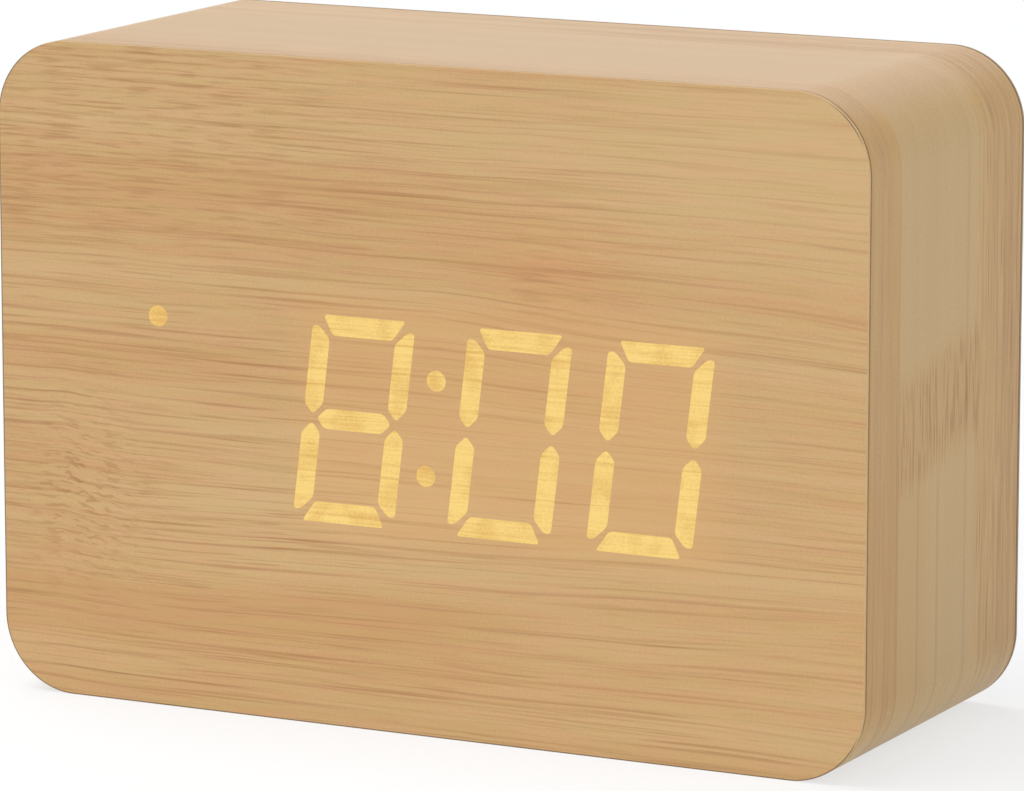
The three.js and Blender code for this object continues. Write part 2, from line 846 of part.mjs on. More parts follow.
function backCover() {
  const recessHalf = doorHalfWidth + fitGap;
  const plate = slab(rebateOutline(fitGap), coverFrontY, coverRearY);
  const collar = box(
    -recessHalf - collarWidth,
    recessHalf + collarWidth,
    coverFrontY - collarDepth,
    coverFrontY + joinDepth,
    cavityBottomZ + fitGap,
    doorTopZ + fitGap + collarWidth,
  );
  const tray = box(
    -bayHalfLength - trayWall,
    bayHalfLength + trayWall,
    bayFloorY - trayWall,
    coverFrontY + joinDepth,
    bayBottomZ - trayWall,
    bayTopZ + trayWall,
  );
  const bosses = [-buttonBoardScrewX, buttonBoardScrewX].map((x) =>
    rod(x, buttonZ, bossRadius, buttonBoardRearY, coverFrontY + joinDepth),
  );
  const recess = box(
    -recessHalf,
    recessHalf,
    trayRimY,
    coverRearY + cutOverrun,
    doorLipZ,
    doorTopZ + fitGap,
  );
  const bay = box(
    -bayHalfLength,
    bayHalfLength,
    bayFloorY,
    coverRearY + cutOverrun,
    bayBottomZ,
    bayTopZ,
  );
  const tonguePockets = [-tongueX, tongueX].map((x) =>
    box(
      x - tongueWidth / 2 - fitGap,
      x + tongueWidth / 2 + fitGap,
      coverFrontY - collarDepth - cutOverrun,
      doorFrontY,
      cavityBottomZ,
      bayBottomZ - trayWall,
    ),
  );
  const tabSlots = tabEnds.map(({ side, z }) => {
    const insideX = side * (bayHalfLength - cutOverrun);
    const outsideX = side * (bayHalfLength + trayWall + cutOverrun);
    return box(
      Math.min(insideX, outsideX),
      Math.max(insideX, outsideX),
      cellY - tabWidth / 2 - fitGap,
      cellY + tabWidth / 2 + fitGap,
      z - contactThickness / 2 - fitGap,
      z + contactThickness / 2 + fitGap,
    );
  });
  const through = (x, z, radius) =>
    rod(x, z, radius, coverFrontY - cutOverrun, coverRearY + cutOverrun, holeSteps);
  const soundHoles = Array.from({ length: soundHoleCount }, (_, i) => {
    const turn = (2 * Math.PI * i) / soundHoleCount;
    return through(
      soundHolesX + soundHoleRing * Math.cos(turn),
      jackZ + soundHoleRing * Math.sin(turn),
      soundHoleRadius,
    );
  });
  const screwHoles = coverScrewPlaces.flatMap(([x, z]) => [
    through(x, z, coverHoleRadius),
    rod(x, z, coverHeadRadius + fitGap, coverScrewSeatY, coverRearY + cutOverrun),
  ]);
  const bossHoles = [-buttonBoardScrewX, buttonBoardScrewX].map((x) =>
    rod(x, buttonZ, smallHoleRadius, buttonBoardRearY - cutOverrun, bossTipY),
  );
  const moulding = cut(
    join(plate, collar, tray, ...bosses),
    recess,
    bay,
    ...tonguePockets,
    ...tabSlots,
    ...Object.values(buttonX).map((x) => through(x, buttonZ, capRadius + fitGap)),
    through(jackX, jackZ, jackSnoutRadius + fitGap),
    through(microphoneX, buttonZ, microphoneHoleRadius),
    through(soundHolesX, jackZ, soundHoleRadius),
    ...soundHoles,
    ...screwHoles,
    ...bossHoles,
  );
  return piece("back_cover", "blackPlastic", moulding);
}

function coverScrews() {
  const geometry = screwGeometry(
    coverShankRadius,
    coverHeadRadius,
    coverHeadHeight,
    coverHeadEdge,
    coverScrewLength,
    coverRecessWidth,
    coverRecessDepth,
    coverScrewSides,
  );
  return coverScrewPlaces.map(([x, z], i) => {
    const screw = piece(`cover_screw_${i + 1}`, "steel", geometry);
    screw.position.set(x, coverScrewSeatY, z);
    return screw;
  });
}

// Push buttons: a cap held behind the cover by its flange, resting on the plunger of a switch.
function buttonCap(name) {
  const topY = coverRearY + capProud;
  const flangeFrontY = capFlangeRearY - capFlangeThickness;
  const cap = piece(
    name,
    "buttonPlastic",
    turned([
      [0, plungerTopY],
      [capPostRadius, plungerTopY],
      [capPostRadius, flangeFrontY],
      [capFlangeRadius, flangeFrontY],
      [capFlangeRadius, capFlangeRearY],
      [capRadius, capFlangeRearY],
      [capRadius, topY - capEdge],
      [capRadius - capEdge, topY],
      [0, topY],
    ]),
  );
  cap.position.set(buttonX[name], 0, buttonZ);
  return cap;
}

function switchPlunger(name) {
  const lowY = plungerTopY - plungerProud - plungerSunk;
  const plunger = piece(`${name}_plunger`, "buttonPlastic", rod(0, 0, plungerRadius, lowY, plungerTopY));
  plunger.position.set(buttonX[name], 0, buttonZ);
  return plunger;
}

function switchBody(name) {
  const half = switchSide / 2;
  const topY = buttonBoardRearY + switchHeight;
  const housing = box(-half, half, buttonBoardRearY, topY, -half, half);
  const legs = [-switchLegSpan / 2, switchLegSpan / 2].map((x) =>
    box(
      x - switchLegWidth / 2,
      x + switchLegWidth / 2,
      buttonBoardRearY,
      buttonBoardRearY + switchLegThickness,
      -half - switchLegReach,
      half + switchLegReach,
    ),
  );
  const bore = rod(0, 0, switchBoreRadius, topY - switchBoreDepth, topY + cutOverrun);
  const body = piece(`${name}_switch`, "chip", cut(join(housing, ...legs), bore));
  body.position.set(buttonX[name], 0, buttonZ);
  return body;
}

function buttonBoard() {
  const outline = roundedRectangle(
    buttonBoardWidth / 2,
    buttonBoardHalfHeight,
    boardCornerRadius,
    0,
    buttonZ,
  );
  const holes = [-buttonBoardScrewX, buttonBoardScrewX].map((x) => circle(x, buttonZ, smallHoleRadius));
  return piece(
    "button_board",
    "board",
    pierced(outline, holes, buttonBoardFrontY, buttonBoardRearY),
  );
}

function buttonBoardScrews() {
  return [-buttonBoardScrewX, buttonBoardScrewX].map((x, i) => {
    const screw = piece(`button_board_screw_${i + 1}`, "steel", smallScrew);
    screw.position.set(x, buttonBoardFrontY, buttonZ);
    screw.rotation.z = Math.PI;
    return screw;
  });
}

function microphone() {
  const rim = microphoneRadius - microphoneRimWidth;
  const can = piece(
    "microphone",
    "steel",
    turned([
      [0, 0],
      [microphoneRadius, 0],
      [microphoneRadius, microphoneDepth],
      [rim, microphoneDepth],
      [rim, microphoneDepth - microphoneRimDepth],
      [0, microphoneDepth - microphoneRimDepth],
    ]),
  );
  can.position.set(microphoneX, buttonBoardRearY, buttonZ);
  return can;
}

// Power inlet: a block behind the cover whose round mouth comes out flush.
const jackFrontY = coverFrontY - jackDepth;
const lugTipY = jackFrontY - lugReach;

function powerJack() {
  const half = jackSide / 2;
  const block = box(jackX - half, jackX + half, jackFrontY, coverFrontY, jackZ - half, jackZ + half);
  const snout = rod(jackX, jackZ, jackSnoutRadius, coverFrontY - joinDepth, coverRearY, holeSteps);
  const lugs = [-lugOffset, lugOffset].map((offset) =>
    box(
      jackX + offset - lugThickness / 2,
      jackX + offset + lugThickness / 2,
      lugTipY,
      jackFrontY + joinDepth,
      jackZ - lugWidth / 2,
      jackZ + lugWidth / 2,
    ),
  );
  const boreFloorY = coverRearY - jackBoreDepth;
  const bore = rod(jackX, jackZ, jackBoreRadius, boreFloorY, coverRearY + cutOverrun);
  const pin = rod(jackX, jackZ, jackPinRadius, boreFloorY - joinDepth, coverRearY - jackPinInset);
  return piece("power_jack", "chip", join(cut(join(block, snout, ...lugs), bore), pin));
}

// Batteries: cells one above another, each turned end for end against the next.
function batteryCell(row) {
  const shoulder = cellLength - nubLength;
  const cell = piece(
    `cell_${row + 1}`,
    "cell",
    turned([
      [0, 0],
      [cellRadius - cellEdge, 0],
      [cellRadius, cellEdge],
      [cellRadius, shoulder - cellEdge],
      [cellRadius - cellEdge, shoulder],
      [nubRadius, shoulder],
      [nubRadius, cellLength],
      [0, cellLength],
    ]).rotateZ(-Math.PI / 2),
  );
  const side = -flatSide(row);
  const flatEndX = bayHalfLength - contactThickness - contactGap - cellLength;
  cell.position.set(side * flatEndX, cellY, cellZ[row]);
  cell.rotation.z = side > 0 ? 0 : Math.PI;
  return cell;
}

// A tapered spring along X. Its wire starts in the contact plate and ends short of the cell.
class SpringLine extends THREE.Curve {
  constructor(startX, side, z) {
    super();
    Object.assign(this, { startX, side, z });
  }

  getPoint(share, target = new THREE.Vector3()) {
    const turn = 2 * Math.PI * springTurns * share;
    const radius = springBaseRadius + (springTipRadius - springBaseRadius) * share;
    const run = (springRoom - springWireRadius) * share;
    return target.set(
      this.startX - this.side * run,
      cellY + radius * Math.cos(turn),
      this.z + radius * Math.sin(turn),
    );
  }
}

function spring(side, row) {
  const wire = new THREE.Shape(
    Array.from({ length: springWireSides }, (_, i) => {
      const turn = (2 * Math.PI * i) / springWireSides;
      return new THREE.Vector2(springWireRadius * Math.cos(turn), springWireRadius * Math.sin(turn));
    }),
  );
  const line = new SpringLine(side * (bayHalfLength - contactThickness), side, cellZ[row]);
  return new THREE.ExtrudeGeometry(wire, {
    steps: springTurns * springStepsPerTurn,
    extrudePath: line,
    bevelEnabled: false,
  });
}

function contact(name, side, firstRow, lastRow, springRow, tabRow) {
  const innerX = bayHalfLength - contactThickness;
  const across = (nearX, farX, halfY, lowZ, highZ) =>
    box(
      Math.min(side * nearX, side * farX),
      Math.max(side * nearX, side * farX),
      cellY - halfY,
      cellY + halfY,
      lowZ,
      highZ,
    );
  const bodies = [
    across(
      innerX,
      bayHalfLength,
      contactHalfWidth,
      cellZ[firstRow] - contactHalfWidth,
      cellZ[lastRow] + contactHalfWidth,
    ),
  ];
  if (springRow !== null) bodies.push(spring(side, springRow));
  if (tabRow !== null) {
    const half = contactThickness / 2;
    const tipX = bayHalfLength + trayWall + tabReach;
    bodies.push(across(innerX, tipX, tabWidth / 2, cellZ[tabRow] - half, cellZ[tabRow] + half));
  }
  return piece(name, "nickel", join(...bodies));
}

function contacts() {
  const links = cellZ
    .slice(1)
    .map((_, row) => contact(`link_contact_${row + 1}`, flatSide(row), row, row + 1, row, null));
  return [
    contact("positive_contact", -flatSide(0), 0, 0, null, 0),
    ...links,
    contact("negative_contact", flatSide(lastCell), lastCell, lastCell, lastCell, lastCell),
  ];
}

// Battery door: a plate with a round lower edge on the hinge axis and two tongues behind the lip.
function batteryDoor() {
  const half = doorThickness / 2;
  const section = [
    [hingeY + half, doorTopZ],
    [hingeY - half, doorTopZ],
    ...arc(hingeY, hingeZ, half, 2, 4, holeSteps),
  ];
  const plate = bar(polygon(section), -doorHalfWidth, doorHalfWidth);
  const tongues = [-tongueX, tongueX].flatMap((x) => {
    const lowX = x - tongueWidth / 2;
    const highX = x + tongueWidth / 2;
    const farY = hingeY - tongueFarY;
    const topZ = hingeZ + tongueRootRise;
    return [
      box(lowX, highX, farY, hingeY - tongueNearY, hingeZ - tongueReach, topZ),
      box(lowX, highX, farY, hingeY - half + joinDepth, hingeZ - tongueRootFall, topZ),
    ];
  });
  const ribs = Array.from({ length: ribCount }, (_, i) => {
    const z = doorTopZ - latchLength / 2 + (i - (ribCount - 1) / 2) * ribPitch;
    return box(
      -ribLength / 2,
      ribLength / 2,
      coverRearY - joinDepth,
      coverRearY + ribHeight,
      z - ribWidth / 2,
      z + ribWidth / 2,
    );
  });
  const slots = [-latchWidth / 2 - latchSlot, latchWidth / 2].map((lowX) =>
    box(
      lowX,
      lowX + latchSlot,
      doorFrontY - cutOverrun,
      coverRearY + cutOverrun,
      doorTopZ - latchLength,
      doorTopZ + cutOverrun,
    ),
  );
  return piece("battery_door", "blackPlastic", cut(join(plate, ...tongues, ...ribs), ...slots));
}

// A wire from one soldered end to another, leaving each end straight.
function lead(name, finishName, start, startPull, end, endPull) {
  const route = new THREE.CubicBezierCurve3(start, startPull.add(start), endPull.add(end), end);
  const wire = new THREE.Shape(
    Array.from({ length: leadSides }, (_, i) => {
      const turn = (2 * Math.PI * i) / leadSides;
      return new THREE.Vector2(leadRadius * Math.cos(turn), leadRadius * Math.sin(turn));
    }),
  );
  const tube = new THREE.ExtrudeGeometry(wire, {
    steps: leadSteps,
    extrudePath: route,
    bevelEnabled: false,
  });
  return piece(name, finishName, tube);
}

function leads() {
  const boardEndY = boardRearY + leadGap;
  const tabEndX = bayHalfLength + trayWall + tabReach + leadGap;
  const rearPull = () => new THREE.Vector3(0, leadRearPull, 0);
  const fromTab = (name, finishName, { side, z }, rise) =>
    lead(
      name,
      finishName,
      new THREE.Vector3(side * tabEndX, cellY, z),
      new THREE.Vector3(side * leadSidePull, 0, 0),
      new THREE.Vector3(side * leadEndX, boardEndY, z + rise),
      rearPull(),
    );
  const fromLug = (name, finishName, x) =>
    lead(
      name,
      finishName,
      new THREE.Vector3(x, lugTipY - leadGap, jackZ),
      new THREE.Vector3(0, -leadFrontPull, 0),
      new THREE.Vector3(x, boardEndY, jackZ),
      rearPull(),
    );
  return [
    fromTab("battery_lead_red", "red", tabEnds[0], -leadDrift),
    fromTab("battery_lead_black", "black", tabEnds[1], leadDrift),
    fromLug("jack_lead_red", "red", jackX - lugOffset),
    fromLug("jack_lead_black", "black", jackX + lugOffset),
  ];
}

// A flat cable from the button board down to the top edge of the display board.
function ribbonCable() {
  const start = new THREE.Vector2(buttonBoardFrontY - leadGap, buttonZ - ribbonStartDrop);
  const end = new THREE.Vector2(boardRearY + leadGap, digitsZ + boardHeight / 2 - ribbonEndDrop);
  const route = new THREE.CubicBezierCurve(
    start,
    new THREE.Vector2(start.x - ribbonPull, start.y),
    new THREE.Vector2(end.x + ribbonPull, end.y),
    end,
  );
  const sides = [1, -1].map((side) =>
    Array.from({ length: ribbonSteps + 1 }, (_, i) => {
      const share = i / ribbonSteps;
      const spot = route.getPoint(share);
      const along = route.getTangent(share);
      const off = (side * ribbonThickness) / 2;
      return [spot.x - along.y * off, spot.y + along.x * off];
    }),
  );
  const section = polygon([...sides[0], ...sides[1].reverse()]);
  return piece("ribbon_cable", "ribbon", bar(section, -ribbonWidth / 2, ribbonWidth / 2));
}

function group(...children) {
  return new THREE.Group().add(...children.flat());
}

const shell = group(frontFilm(), sideFilm(), rearFilm(), frontPanel(), caseFrame());
const display = group(
  segmentMask(),
  displayBoard(),
  digitX.map((_, digit) => digitLight(digit)),
  dotLight("colon_light", colonDots),
  dotLight("alarm_dot_light", [alarmDot]),
  boardScrews(),
  clockChip(),
  crystalCan(),
  capacitor(),
  buzzer(),
);
const back = group(backCover(), coverScrews(), powerJack());
const controls = group(
  buttonBoard(),
  buttonBoardScrews(),
  microphone(),
  Object.keys(buttonX).map((name) => [buttonCap(name), switchPlunger(name), switchBody(name)]).flat(),
);
const power = group(
  cellZ.map((_, row) => batteryCell(row)),
  contacts(),
  batteryDoor(),
);
const wiring = group(leads(), ribbonCable());

export default group(shell, display, back, controls, power, wiring);
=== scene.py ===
"""The looks of a small wooden digital alarm clock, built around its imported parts. Lengths are in metres."""

import math

import bmesh
import bpy
from mathutils import Matrix, Vector


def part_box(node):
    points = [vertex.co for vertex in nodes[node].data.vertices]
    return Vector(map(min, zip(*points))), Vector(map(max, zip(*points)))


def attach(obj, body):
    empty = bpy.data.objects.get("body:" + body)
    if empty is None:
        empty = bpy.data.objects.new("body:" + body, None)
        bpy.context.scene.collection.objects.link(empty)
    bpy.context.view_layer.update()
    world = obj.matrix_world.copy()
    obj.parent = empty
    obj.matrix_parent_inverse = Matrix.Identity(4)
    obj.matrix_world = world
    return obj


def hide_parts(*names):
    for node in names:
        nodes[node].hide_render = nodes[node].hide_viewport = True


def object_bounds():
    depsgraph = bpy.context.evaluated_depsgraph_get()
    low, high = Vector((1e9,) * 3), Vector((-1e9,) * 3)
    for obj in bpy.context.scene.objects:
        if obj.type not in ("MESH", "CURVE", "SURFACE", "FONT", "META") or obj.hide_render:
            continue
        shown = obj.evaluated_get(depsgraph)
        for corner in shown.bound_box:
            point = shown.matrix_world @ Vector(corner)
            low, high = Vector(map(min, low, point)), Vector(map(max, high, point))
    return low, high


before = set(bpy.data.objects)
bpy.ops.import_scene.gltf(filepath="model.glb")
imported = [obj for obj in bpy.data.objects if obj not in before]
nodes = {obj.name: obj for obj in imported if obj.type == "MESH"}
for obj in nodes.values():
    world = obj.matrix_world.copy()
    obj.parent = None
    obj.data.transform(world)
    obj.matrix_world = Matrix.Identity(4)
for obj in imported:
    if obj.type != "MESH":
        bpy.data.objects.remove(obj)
cad_low, cad_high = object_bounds()
MM = 0.001

# The camera stands two thirds of a metre away, to the right of the clock and a little above it, with
# a long lens, so that the front, the top and the right side show as in the photograph.
azimuth = math.radians(26.92)
elevation = math.radians(10.61)
camera_distance = 663.9 * MM
camera_aside, camera_above = -0.42 * MM, 2.42 * MM
level = math.cos(elevation)
camera_back = Vector((math.sin(azimuth) * level, -math.cos(azimuth) * level, math.sin(elevation)))
camera_right = Vector((math.cos(azimuth), math.sin(azimuth), 0))
camera_up = camera_right.cross(-camera_back)
camera_place = (cad_low + cad_high) / 2 + camera_distance * camera_back
camera_place -= camera_aside * camera_right + camera_above * camera_up
lens = bpy.data.cameras.new("camera")
lens.sensor_width = 36
lens.lens = 221.5
lens.clip_start = 0.05
camera = bpy.data.objects.new("camera", lens)
axes = Matrix((camera_right, camera_up, camera_back)).transposed()
camera.matrix_world = Matrix.Translation(camera_place) @ axes.to_4x4()
bpy.context.scene.collection.objects.link(camera)
bpy.context.scene.camera = camera
bpy.context.scene.view_settings.view_transform = "Standard"


# The studio: a white floor that keeps a faint shadow, an even white surround, a broad soft lamp
# high up on the left, a fill lamp from the front and a weak one from the right.
class Signal:
    """A node's output, wrapped so that shader maths reads as Python."""

    def __init__(self, finish, socket):
        self.finish = finish
        self.socket = socket

    def math(self, operation, *others):
        return self.finish.node("ShaderNodeMath", {"operation": operation}, {}, self, *others)

    def __add__(self, other):
        return self.math("ADD", other)

    def __sub__(self, other):
        return self.math("SUBTRACT", other)

    def __mul__(self, other):
        return self.math("MULTIPLY", other)

    def __rsub__(self, other):
        return self * -1 + other

    __radd__ = __add__
    __rmul__ = __mul__

    def __abs__(self):
        return self.math("ABSOLUTE")

    def at_least(self, low):
        return self.math("MAXIMUM", low)

    def at_most(self, high):
        return self.math("MINIMUM", high)

    def between(self, low, high):
        """0 below low, 1 above high and smooth in between; low may be the larger one."""
        limits = {"From Min": low, "From Max": high, "Value": self}
        return self.finish.node("ShaderNodeMapRange", {"interpolation_type": "SMOOTHSTEP"}, limits)

    def near(self, centre, reach):
        """A soft bump, 1 at the centre and close to 0 at that reach and beyond."""
        offset = (self - centre) * (1.6 / reach)
        return (offset * offset * -1).math("EXPONENT")


class Finish:
    """A material, or the world, whose nodes are added by name."""

    def __init__(self, name, world=False):
        self.data = bpy.data.worlds.new(name) if world else bpy.data.materials.new(name)
        self.data.use_nodes = True
        self.tree = self.data.node_tree
        self.shader = self.tree.nodes["Background" if world else "Principled BSDF"]

    def put(self, node, sockets):
        """Gives a node's sockets their values or links."""
        for key, value in sockets.items():
            if isinstance(value, Signal):
                self.tree.links.new(value.socket, node.inputs[key])
            else:
                node.inputs[key].default_value = value

    def node(self, kind, settings=None, sockets=None, *ordered, out=0):
        """Adds a node with its settings, then its sockets by name or in order, and gives one output."""
        made = self.tree.nodes.new(kind)
        for key, value in (settings or {}).items():
            setattr(made, key, value)
        self.put(made, dict(enumerate(ordered)))
        self.put(made, sockets or {})
        return Signal(self, made.outputs[out])

    def place(self):
        """Object coordinates in millimetres, as three signals."""
        spot = self.node("ShaderNodeTexCoord", out="Object")
        parts = [self.node("ShaderNodeSeparateXYZ", {}, {}, spot, out=axis) for axis in range(3)]
        return [part * 1000 for part in parts]

    def noise(self, x, y, z, detail=2.0, roughness=0.5, scale=1.0):
        """Cloudy noise from 0 to 1, about one blob to each unit, or more of them with a larger scale."""
        spot = self.node("ShaderNodeCombineXYZ", {}, {}, x, y, z)
        sockets = {"Vector": spot, "Scale": scale, "Detail": detail, "Roughness": roughness}
        return self.node("ShaderNodeTexNoise", {}, sockets)

    def mix(self, share, first, second):
        """Blends two colours; a plain one is given as read off a screen, 0 to 255."""
        pair = [paint(colour) if isinstance(colour, tuple) else colour for colour in (first, second)]
        sockets = {0: share, 6: pair[0], 7: pair[1]}
        return self.node("ShaderNodeMix", {"data_type": "RGBA"}, sockets, out=2)

    def bump(self, height, depth):
        """A normal from a height of 0 to 1 that stands for a real depth."""
        return self.node("ShaderNodeBump", {}, {"Distance": depth, "Height": height})

    def set(self, **sockets):
        """Sets the shader's sockets, with underscores for the spaces in their names."""
        self.put(self.shader, {key.replace("_", " "): value for key, value in sockets.items()})
        return self


def paint(colour):
    """A colour as read off a screen, 0 to 255, made linear."""
    shares = [value / 255 for value in colour]
    line = [s / 12.92 if s <= 0.04045 else ((s + 0.055) / 1.055) ** 2.4 for s in shares]
    return (*line, 1.0)


def seen_directly(finish):
    """1 for what the camera sees, also in a mirror or through glass, and 0 for all other light."""
    kinds = ("Is Camera Ray", "Is Glossy Ray", "Is Transmission Ray")
    rays = [finish.node("ShaderNodeLightPath", out=kind) for kind in kinds]
    return rays[0].at_least(rays[1]).at_least(rays[2])


surround_strength = 0.315
surround = Finish("white_surround", world=True)
seen_extra = seen_directly(surround) * (1 - surround_strength)
surround.set(Color=(1, 1, 1, 1), Strength=seen_extra + surround_strength)
bpy.context.scene.world = surround.data

floor_size = 8.0
floor_drop = 0.02 * MM  # keeps the floor and the underside of the clock out of one plane
shadow_share = 0.32  # how much of the real shadow shows on the white floor
bpy.ops.mesh.primitive_plane_add(size=floor_size, location=(0, 0, -floor_drop))
floor = bpy.context.active_object
floor.name = "floor"
white = Finish("white_floor").set(Base_Color=(0.955, 0.975, 1.0, 1), Roughness=0.9)
glow = white.node("ShaderNodeEmission", {}, {"Color": (1, 1, 1, 1), "Strength": 1.0})
shaded = Signal(white, white.shader.outputs[0])
white_share = seen_directly(white) * (1 - shadow_share)
surface = white.node("ShaderNodeMixShader", {}, {}, white_share, shaded, glow)
white.put(white.tree.nodes["Material Output"], {"Surface": surface})
floor.data.materials.append(white.data)

for name, strength, width, towards in (
    ("key_lamp", 1.87, 50, (-0.38, -0.05, 1.0)),
    ("fill_lamp", 0.74, 60, (-0.1, -1.0, 0.3)),
    ("side_lamp", 0.57, 70, (1.0, -0.5, 0.5)),
):
    lamp = bpy.data.lights.new(name, "SUN")
    lamp.energy = strength
    lamp.angle = math.radians(width)
    light = bpy.data.objects.new(name, lamp)
    light.rotation_mode = "QUATERNION"
    light.rotation_quaternion = Vector(towards).to_track_quat("Z", "Y")
    bpy.context.scene.collection.objects.link(light)


# The front film: bamboo-print foil on the face of the clock, one sheet with a crisp cut edge. The
# lit segments and dots are areas of this same sheet with the light guides behind them.
def block(name, low, high):
    """A box between two corners, as the active object, with its place in its mesh."""
    low, high = Vector(low), Vector(high)
    bpy.ops.mesh.primitive_cube_add(size=1, location=(low + high) / 2, scale=high - low)
    return settled(name)


def slab(name, x, half_x, near_y, far_y, low_z, high_z):
    """A box centred on an x, between two depths and two heights."""
    return block(name, (x - half_x, near_y, low_z), (x + half_x, far_y, high_z))


def rod(name, spot, radius, start, end, sides=48, axis="Y"):
    """A cylinder along X or Y between two places; spot gives its other two coordinates."""
    middle = (start + end) / 2
    place = (middle, *spot) if axis == "X" else (spot[0], middle, spot[1])
    turn = (0, math.radians(90), 0) if axis == "X" else (math.radians(90), 0, 0)
    bpy.ops.mesh.primitive_cylinder_add(
        vertices=sides, radius=radius, depth=abs(end - start), location=place, rotation=turn
    )
    return settled(name)


def settled(name):
    """Names the active object and puts its place, turn and scale into its mesh."""
    made = bpy.context.active_object
    made.name = made.data.name = name
    bpy.ops.object.transform_apply(location=True, rotation=True, scale=True)
    return made


def choose(*parts):
    """Selects these objects and no others, the first one as the active object."""
    bpy.ops.object.select_all(action="DESELECT")
    for part in parts:
        part.select_set(True)
    bpy.context.view_layer.objects.active = parts[0]


def pick(made, kind, test):
    """Opens a piece in edit mode with only the edges or faces selected that pass a test."""
    choose(made)
    bpy.ops.object.mode_set(mode="EDIT")
    bpy.ops.mesh.select_mode(type=kind)
    bpy.ops.mesh.select_all(action="DESELECT")
    shape = bmesh.from_edit_mesh(made.data)
    for part in shape.edges if kind == "EDGE" else shape.faces:
        if test(part):
            part.select_set(True)
    bmesh.update_edit_mesh(made.data)


def close_edit():
    bpy.ops.mesh.select_all(action="DESELECT")
    bpy.ops.object.mode_set(mode="OBJECT")


hair = 0.001 * MM  # a length too small to matter


def runs_along(axis):
    """A test for edges that run along one axis: 0 the width of the clock, 1 its depth."""

    def test(edge):
        run = edge.verts[0].co - edge.verts[1].co
        return all(abs(run[other]) < hair for other in range(3) if other != axis)

    return test


def rim_at(level, sharpest=30, axis=1):
    """A test for the sharp edges of a piece that lie at one place on an axis."""

    def test(edge):
        flat = all(abs(vert.co[axis] - level) < hair for vert in edge.verts)
        return flat and edge.calc_face_angle(0) > math.radians(sharpest)

    return test


def bevel(made, radius, steps, test):
    """Rounds the edges that pass a test."""
    pick(made, "EDGE", test)
    bpy.ops.mesh.bevel(offset=radius, segments=steps, affect="EDGES", clamp_overlap=False)
    close_edit()


def round_corners(made, radius, steps):
    """Rounds the four corners of a block as seen from the front."""
    bevel(made, radius, steps, runs_along(1))


def sink(made, test, insets, move):
    """Insets the faces that pass a test, once or more, and moves what is left of them."""
    pick(made, "FACE", test)
    for width in insets:
        bpy.ops.mesh.inset(thickness=width)
    bpy.ops.transform.translate(value=move)
    close_edit()


def use(made, kind, **settings):
    """Adds a modifier and applies it."""
    modifier = made.modifiers.new(kind.lower(), kind)
    for key, value in settings.items():
        setattr(modifier, key, value)
    choose(made)
    bpy.ops.object.modifier_apply(modifier=modifier.name)


def copied(made, name, move, depth_share=1.0):
    """A copy of a piece with its own mesh, stretched along the depth and moved into place."""
    choose(made)
    bpy.ops.object.duplicate()
    copy = bpy.context.active_object
    copy.scale.y = depth_share
    copy.location = move
    return settled(name)


def cut_away(made, *tools, operation="DIFFERENCE"):
    for tool in tools:
        use(made, "BOOLEAN", operation=operation, solver="EXACT", object=tool)
        bpy.data.objects.remove(tool)


def unite(made, *tools):
    cut_away(made, *tools, operation="UNION")


def joined(name, parts):
    """Several pieces as one object."""
    choose(*parts)
    if len(parts) > 1:
        bpy.ops.object.join()
    return settled(name)


def give(made, finish, test=lambda face: True):
    """Gives a piece one more finish, on the faces that pass a test."""
    made.data.materials.append(finish.data)
    for face in made.data.polygons:
        if test(face):
            face.material_index = len(made.data.materials) - 1


def finish_piece(made, slot, stands_for, finish=None, body="root"):
    """Gives a piece its finish, smooths its shallow edges and hangs it in the frame."""
    if finish:
        give(made, finish)
    choose(made)
    bpy.ops.object.shade_smooth_by_angle(angle=math.radians(30))
    use(made, "WEIGHTED_NORMAL", keep_sharp=True, weight=90)
    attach(made, body)
    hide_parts(stands_for)


def mm(*values):
    """Lengths given in millimetres."""
    return tuple(value * MM for value in values)


middle_z = (cad_low.z + cad_high.z) / 2
film_thickness = 0.4 * MM
film_near, film_far = cad_low.y, cad_low.y + film_thickness
corner_radius = 8.2 * MM
corner_steps = 28
flat_x = cad_high.x - corner_radius
flat_z = (cad_high.z - cad_low.z) / 2 - corner_radius

digit_width, digit_height = mm(11.9, 21.9)
segment_width = 2.15 * MM
slant_share = 0.123
digit_middles = mm(-23.65, -7.7, 10.3, 26.25)
digits_z = middle_z - 2.5 * MM
corner_softness = 0.38 * MM


def plate(name, points, near_y, far_y):
    """A convex plate seen from the front, cut from a block along each side of its outline."""
    xs, zs = zip(*points)
    spare = 1.0 * MM
    low, high = (min(xs) - spare, near_y, min(zs) - spare), (max(xs) + spare, far_y, max(zs) + spare)
    made = block(name, low, high)
    for (x, z), (next_x, next_z) in zip(points, points[1:] + points[:1]):
        pick(made, "FACE", lambda face: True)
        outwards = Vector((next_z - z, 0, x - next_x)).normalized()
        bpy.ops.mesh.bisect(
            plane_co=(x, 0, z), plane_no=outwards, use_fill=True, clear_outer=True, threshold=hair
        )
        close_edit()
    return made


